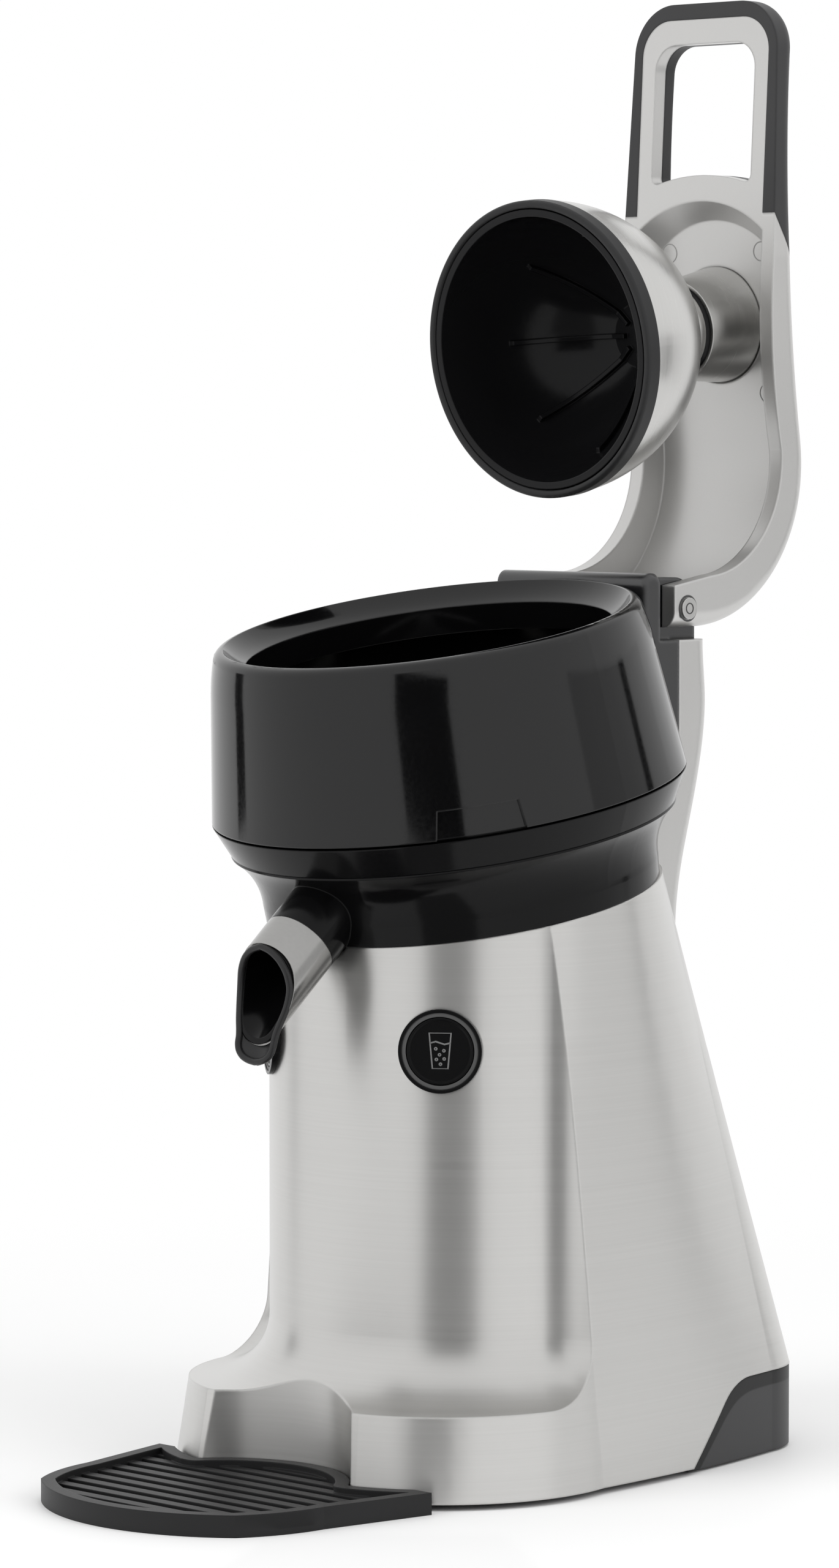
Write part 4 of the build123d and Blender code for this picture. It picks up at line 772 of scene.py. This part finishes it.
class PRESS_OT_spout_rim(PressOperator):
    """A rounded rim round the spout's mouth, drawn out into a pouring lip."""

    bl_idname = "press.spout_rim"
    bl_label = "Spout rim"

    def execute(self, context):
        grey = rgba(context.scene.press_finish.grey, 0.45)
        paint = moulded("spout_rim_black", grey, rough=0.3, speck=900.0, bump=0.01, shine=0.3)
        half = self.smooth(MOUTH, RIM_POINTS)
        path = self.place(np.concatenate((half, half[-2:0:-1] * (1.0, -1.0, 1.0))))
        points, faces = tube(path, RIM_RADIUS, RIM_SIDES)
        mesh_piece("spout_rim", points, faces, paint, "stand")
        points, faces = self.pour_lip()
        mesh_piece("spout_pour_lip", points, faces, paint, "stand")
        return {"FINISHED"}

    def smooth(self, rows, count):
        """Points spread along a row of places, eased three times by the mean of each, counted
        twice, and its two neighbours."""
        steps = np.linspace(0.0, len(rows) - 1.0, count)
        marks = np.arange(len(rows))
        eased = np.stack([np.interp(steps, marks, part) for part in rows.T], -1)
        for _ in range(3):
            eased[1:-1] = (eased[:-2] + 2.0 * eased[1:-1] + eased[2:]) / 4.0
        return eased

    def place(self, rows):
        """Turns places along the spout, to the side and up, in millimetres, into points of the
        scene."""
        axes = np.stack((SPOUT_OUT, ACROSS, SPOUT_UP))
        return SPOUT_JOINT + MILLIMETRE * (rows @ axes)

    def pour_lip(self):
        """The lip's sheet: between the two sides of the rim it sags by a parabola, less towards the
        tip."""
        edge = self.smooth(MOUTH[LIP_START:], LIP_POINTS)[:-1]
        share = np.linspace(-1.0, 1.0, LIP_COLUMNS)
        sag = np.linspace(*LIP_SAG, len(edge))[:, None] * (1.0 - share**2)
        along = np.broadcast_to(edge[:, :1], sag.shape)
        rows = np.stack((along, edge[:, 1:2] * share, edge[:, 2:] - sag), -1)
        return sheet(self.place(rows), -LIP_WALL * SPOUT_UP)


class PRESS_OT_mould_marks(PressOperator):
    """Round marks of the mould's pins on the floor of the arm's channel."""

    bl_idname = "press.mould_marks"
    bl_label = "Mould marks"

    def execute(self, context):
        silver = rgba(context.scene.press_finish.silver, 0.7)
        paint = moulded("mark_silver", silver, rough=0.4, speck=1500.0, bump=0.01)
        curve = np.polyfit(CHANNEL[:, 1], CHANNEL[:, 0], 2)
        for number, (x, z) in enumerate(MOULD_MARKS):
            lean = 2.0 * curve[0] * z + curve[1]
            up = np.array((0.0, lean, 1.0)) / math.hypot(lean, 1.0)
            out = np.cross(up, -ACROSS)
            centre = np.array((x, np.polyval(curve, z), z)) - MOULD_SINK * out
            path = circle(centre, ACROSS, up, MOULD_RADIUS, MOULD_POINTS)
            points, faces = carried(path, out, ring_profile(*MOULD_RING), True)
            mesh_piece(f"mould_mark_{number}", points, faces, paint, "lever")
        return {"FINISHED"}


class PRESS_OT_hinge_rings(PressOperator):
    """Two thin rings round each end of the hinge pin."""

    bl_idname = "press.hinge_rings"
    bl_label = "Hinge rings"

    def execute(self, context):
        paint = moulded("hinge_ring_dark", HINGE_DARK, rough=0.4, speck=900.0, bump=0.01)
        for side, hand in SIDES:
            out = hand * ACROSS
            for name, reach, radius, band, count in HINGE_RINGS:
                path = circle(PIVOT + reach * out, np.cross(UPRIGHT, out), UPRIGHT, radius, count)
                points, faces = carried(path, out, ring_profile(*band), True)
                mesh_piece(name + side, points, faces, paint, "lever")
        return {"FINISHED"}


class PRESS_OT_neck_sleeve(PressOperator):
    """A thin steel sleeve round the cup's neck, from the dome to the ball."""

    bl_idname = "press.neck_sleeve"
    bl_label = "Neck sleeve"

    def execute(self, context):
        steel = rgba(context.scene.press_finish.steel, 1.12)
        paint = brushed("sleeve_steel", steel, rough=0.3, grain=(30.0, 600.0, 30.0), bump=0.004)
        centre = BALL - SLEEVE_START * CUP_BACK
        path = circle(centre, ACROSS, -CUP_UP, SLEEVE_RADIUS, SLEEVE_POINTS)
        points, faces = carried(path, CUP_BACK, SLEEVE_PROFILE, True)
        mesh_piece("neck_sleeve", points, faces, paint, "cup")
        return {"FINISHED"}


class PRESS_OT_stage(PressOperator):
    """Camera, soft light and a pale floor that fades to white."""

    bl_idname = "press.stage"
    bl_label = "Stage"

    def execute(self, context):
        setup = context.scene.press_stage
        scene = context.scene
        scene.view_settings.view_transform = "Standard"
        camera = bpy.data.objects.new("camera", bpy.data.cameras.new("camera"))
        scene.collection.objects.link(camera)
        camera.data.lens = setup.lens
        camera.data.sensor_width = SENSOR_WIDTH
        camera.location = setup.camera
        camera.rotation_euler = Vector(setup.aim).to_track_quat("-Z", "Y").to_euler()
        scene.camera = camera
        self.light_world(scene, setup)
        self.light_panels(scene, setup)
        self.hang_cards(scene, setup)
        self.lay_floor(scene)
        return {"FINISHED"}

    def light_world(self, scene, setup):
        """White to the rays that see it, and a plain fill for the rest."""
        world = bpy.data.worlds.new("studio")
        scene.world = world
        world.use_nodes = True
        studio = ShadeTree(world.node_tree)
        back = world.node_tree.nodes["Background"]
        back.inputs["Color"].default_value = WHITE
        inputs = {"Value": studio.seen(), "To Min": setup.fill}
        studio.link(studio.node("ShaderNodeMapRange", {}, inputs), back.inputs["Strength"])

    def light_panels(self, scene, setup):
        """Two tall soft panels beside the camera and one overhead, unseen in reflections."""
        for name, place, width, height, share in PANELS:
            light = bpy.data.lights.new(name, "AREA")
            light.shape = "RECTANGLE"
            light.size = width
            light.size_y = height
            light.energy = setup.panel * share
            lamp = bpy.data.objects.new(name, light)
            lamp.location = place
            aim = Vector(PANEL_AIM) - Vector(place)
            lamp.rotation_euler = aim.to_track_quat("-Z", "Y").to_euler()
            lamp.visible_glossy = False
            scene.collection.objects.link(lamp)

    def hang_cards(self, scene, setup):
        """Dark and grey cards round the press, seen only in reflections, for bands on metal."""
        ahead = math.atan2(setup.camera[1], setup.camera[0])
        for name, turn, spread, low, tone in CARDS:
            rim = self.card_arc(ahead, turn, spread)
            points = np.stack((rim + low * UPRIGHT, rim + CARD_HIGH * UPRIGHT))
            self.add_card(scene, name, points, tone)
        rim = self.card_arc(ahead, RUNNER_TURN, RUNNER_SPREAD)
        lift = RUNNER_LIFT * UPRIGHT
        points = np.stack((rim * RUNNER_NEAR / CARD_REACH + lift, rim + lift))
        self.add_card(scene, "card_runner", points, RUNNER_TONE)

    def card_arc(self, ahead, turn, spread):
        """An arc on the floor round the press, by the spread to either side of the turn."""
        turns = ahead + np.radians(np.linspace(turn - spread, turn + spread, CARD_POINTS))
        return CARD_REACH * np.stack((np.cos(turns), np.sin(turns), np.zeros(CARD_POINTS)), -1)

    def add_card(self, scene, name, points, tone):
        """One card of an even tone over two rows of points, hidden from all but reflections."""
        mesh = bpy.data.meshes.new(name)
        faces = grid_faces(2, CARD_POINTS, False, False)
        mesh.from_pydata(points.reshape(-1, 3).tolist(), [], faces)
        paint = Paint(
            name, Base_Color=BLACK, Specular_IOR_Level=0.0,
            Emission_Color=rgba((tone, tone, tone)), Emission_Strength=1.0,
        )
        mesh.materials.append(paint.material)
        card = bpy.data.objects.new(name, mesh)
        card.visible_camera = False
        card.visible_diffuse = False
        card.visible_shadow = False
        scene.collection.objects.link(card)

    def lay_floor(self, scene):
        """A flat square, white to the rays that see it, but for the shadow round the press."""
        far = FLOOR_REACH
        mesh = bpy.data.meshes.new("floor")
        corners = [(-far, -far, 0.0), (far, -far, 0.0), (far, far, 0.0), (-far, far, 0.0)]
        mesh.from_pydata(corners, [], [(0, 1, 2, 3)])
        floor = bpy.data.objects.new("floor", mesh)
        scene.collection.objects.link(floor)
        paint = Paint("floor_white", Base_Color=FLOOR_TONE, Roughness=FLOOR_GLOSS)
        away = paint.vector("LENGTH", paint.spot, output="Value")
        plain = Shade(paint, paint.shader.outputs["BSDF"])
        glow = paint.node("ShaderNodeEmission", {}, {})
        amount = paint.seen() * away.step(*FLOOR_FADE)
        mixed = paint.node("ShaderNodeMixShader", {}, {0: amount, 1: plain, 2: glow})
        paint.link(mixed, paint.surface)
        mesh.materials.append(paint.material)


class PRESS_PT_panel(bpy.types.Panel):
    """Lists the colours, the stage and the steps that dress the press."""

    bl_label = "Press"
    bl_idname = "PRESS_PT_panel"
    bl_space_type = "VIEW_3D"
    bl_region_type = "UI"
    bl_category = "Press"

    def draw(self, context):
        for name in ("steel", "silver", "black", "grey", "mark", "steel_gloss"):
            self.layout.prop(context.scene.press_finish, name)
        for name in ("lens", "camera", "aim", "fill", "panel"):
            self.layout.prop(context.scene.press_stage, name)
        for step in STEPS:
            self.layout.operator(step.bl_idname)


STEPS = (
    PRESS_OT_steel,
    PRESS_OT_silver,
    PRESS_OT_black,
    PRESS_OT_grey,
    PRESS_OT_drive,
    PRESS_OT_button_marks,
    PRESS_OT_spout_rim,
    PRESS_OT_mould_marks,
    PRESS_OT_hinge_rings,
    PRESS_OT_neck_sleeve,
    PRESS_OT_stage,
)
CLASSES = (PressFinish, PressStage) + STEPS + (PRESS_PT_panel,)


def register():
    for each in CLASSES:
        bpy.utils.register_class(each)
    bpy.types.Scene.press_finish = bpy.props.PointerProperty(type=PressFinish)
    bpy.types.Scene.press_stage = bpy.props.PointerProperty(type=PressStage)


def unregister():
    del bpy.types.Scene.press_stage
    del bpy.types.Scene.press_finish
    for each in reversed(CLASSES):
        bpy.utils.unregister_class(each)


def main():
    register()
    bpy.ops.press.steel()
    bpy.ops.press.silver()
    bpy.ops.press.black()
    bpy.ops.press.grey()
    bpy.ops.press.drive()
    bpy.ops.press.button_marks()
    bpy.ops.press.spout_rim()
    bpy.ops.press.mould_marks()
    bpy.ops.press.hinge_rings()
    bpy.ops.press.neck_sleeve()
    bpy.ops.press.stage()


if __name__ == "__main__":
    main()
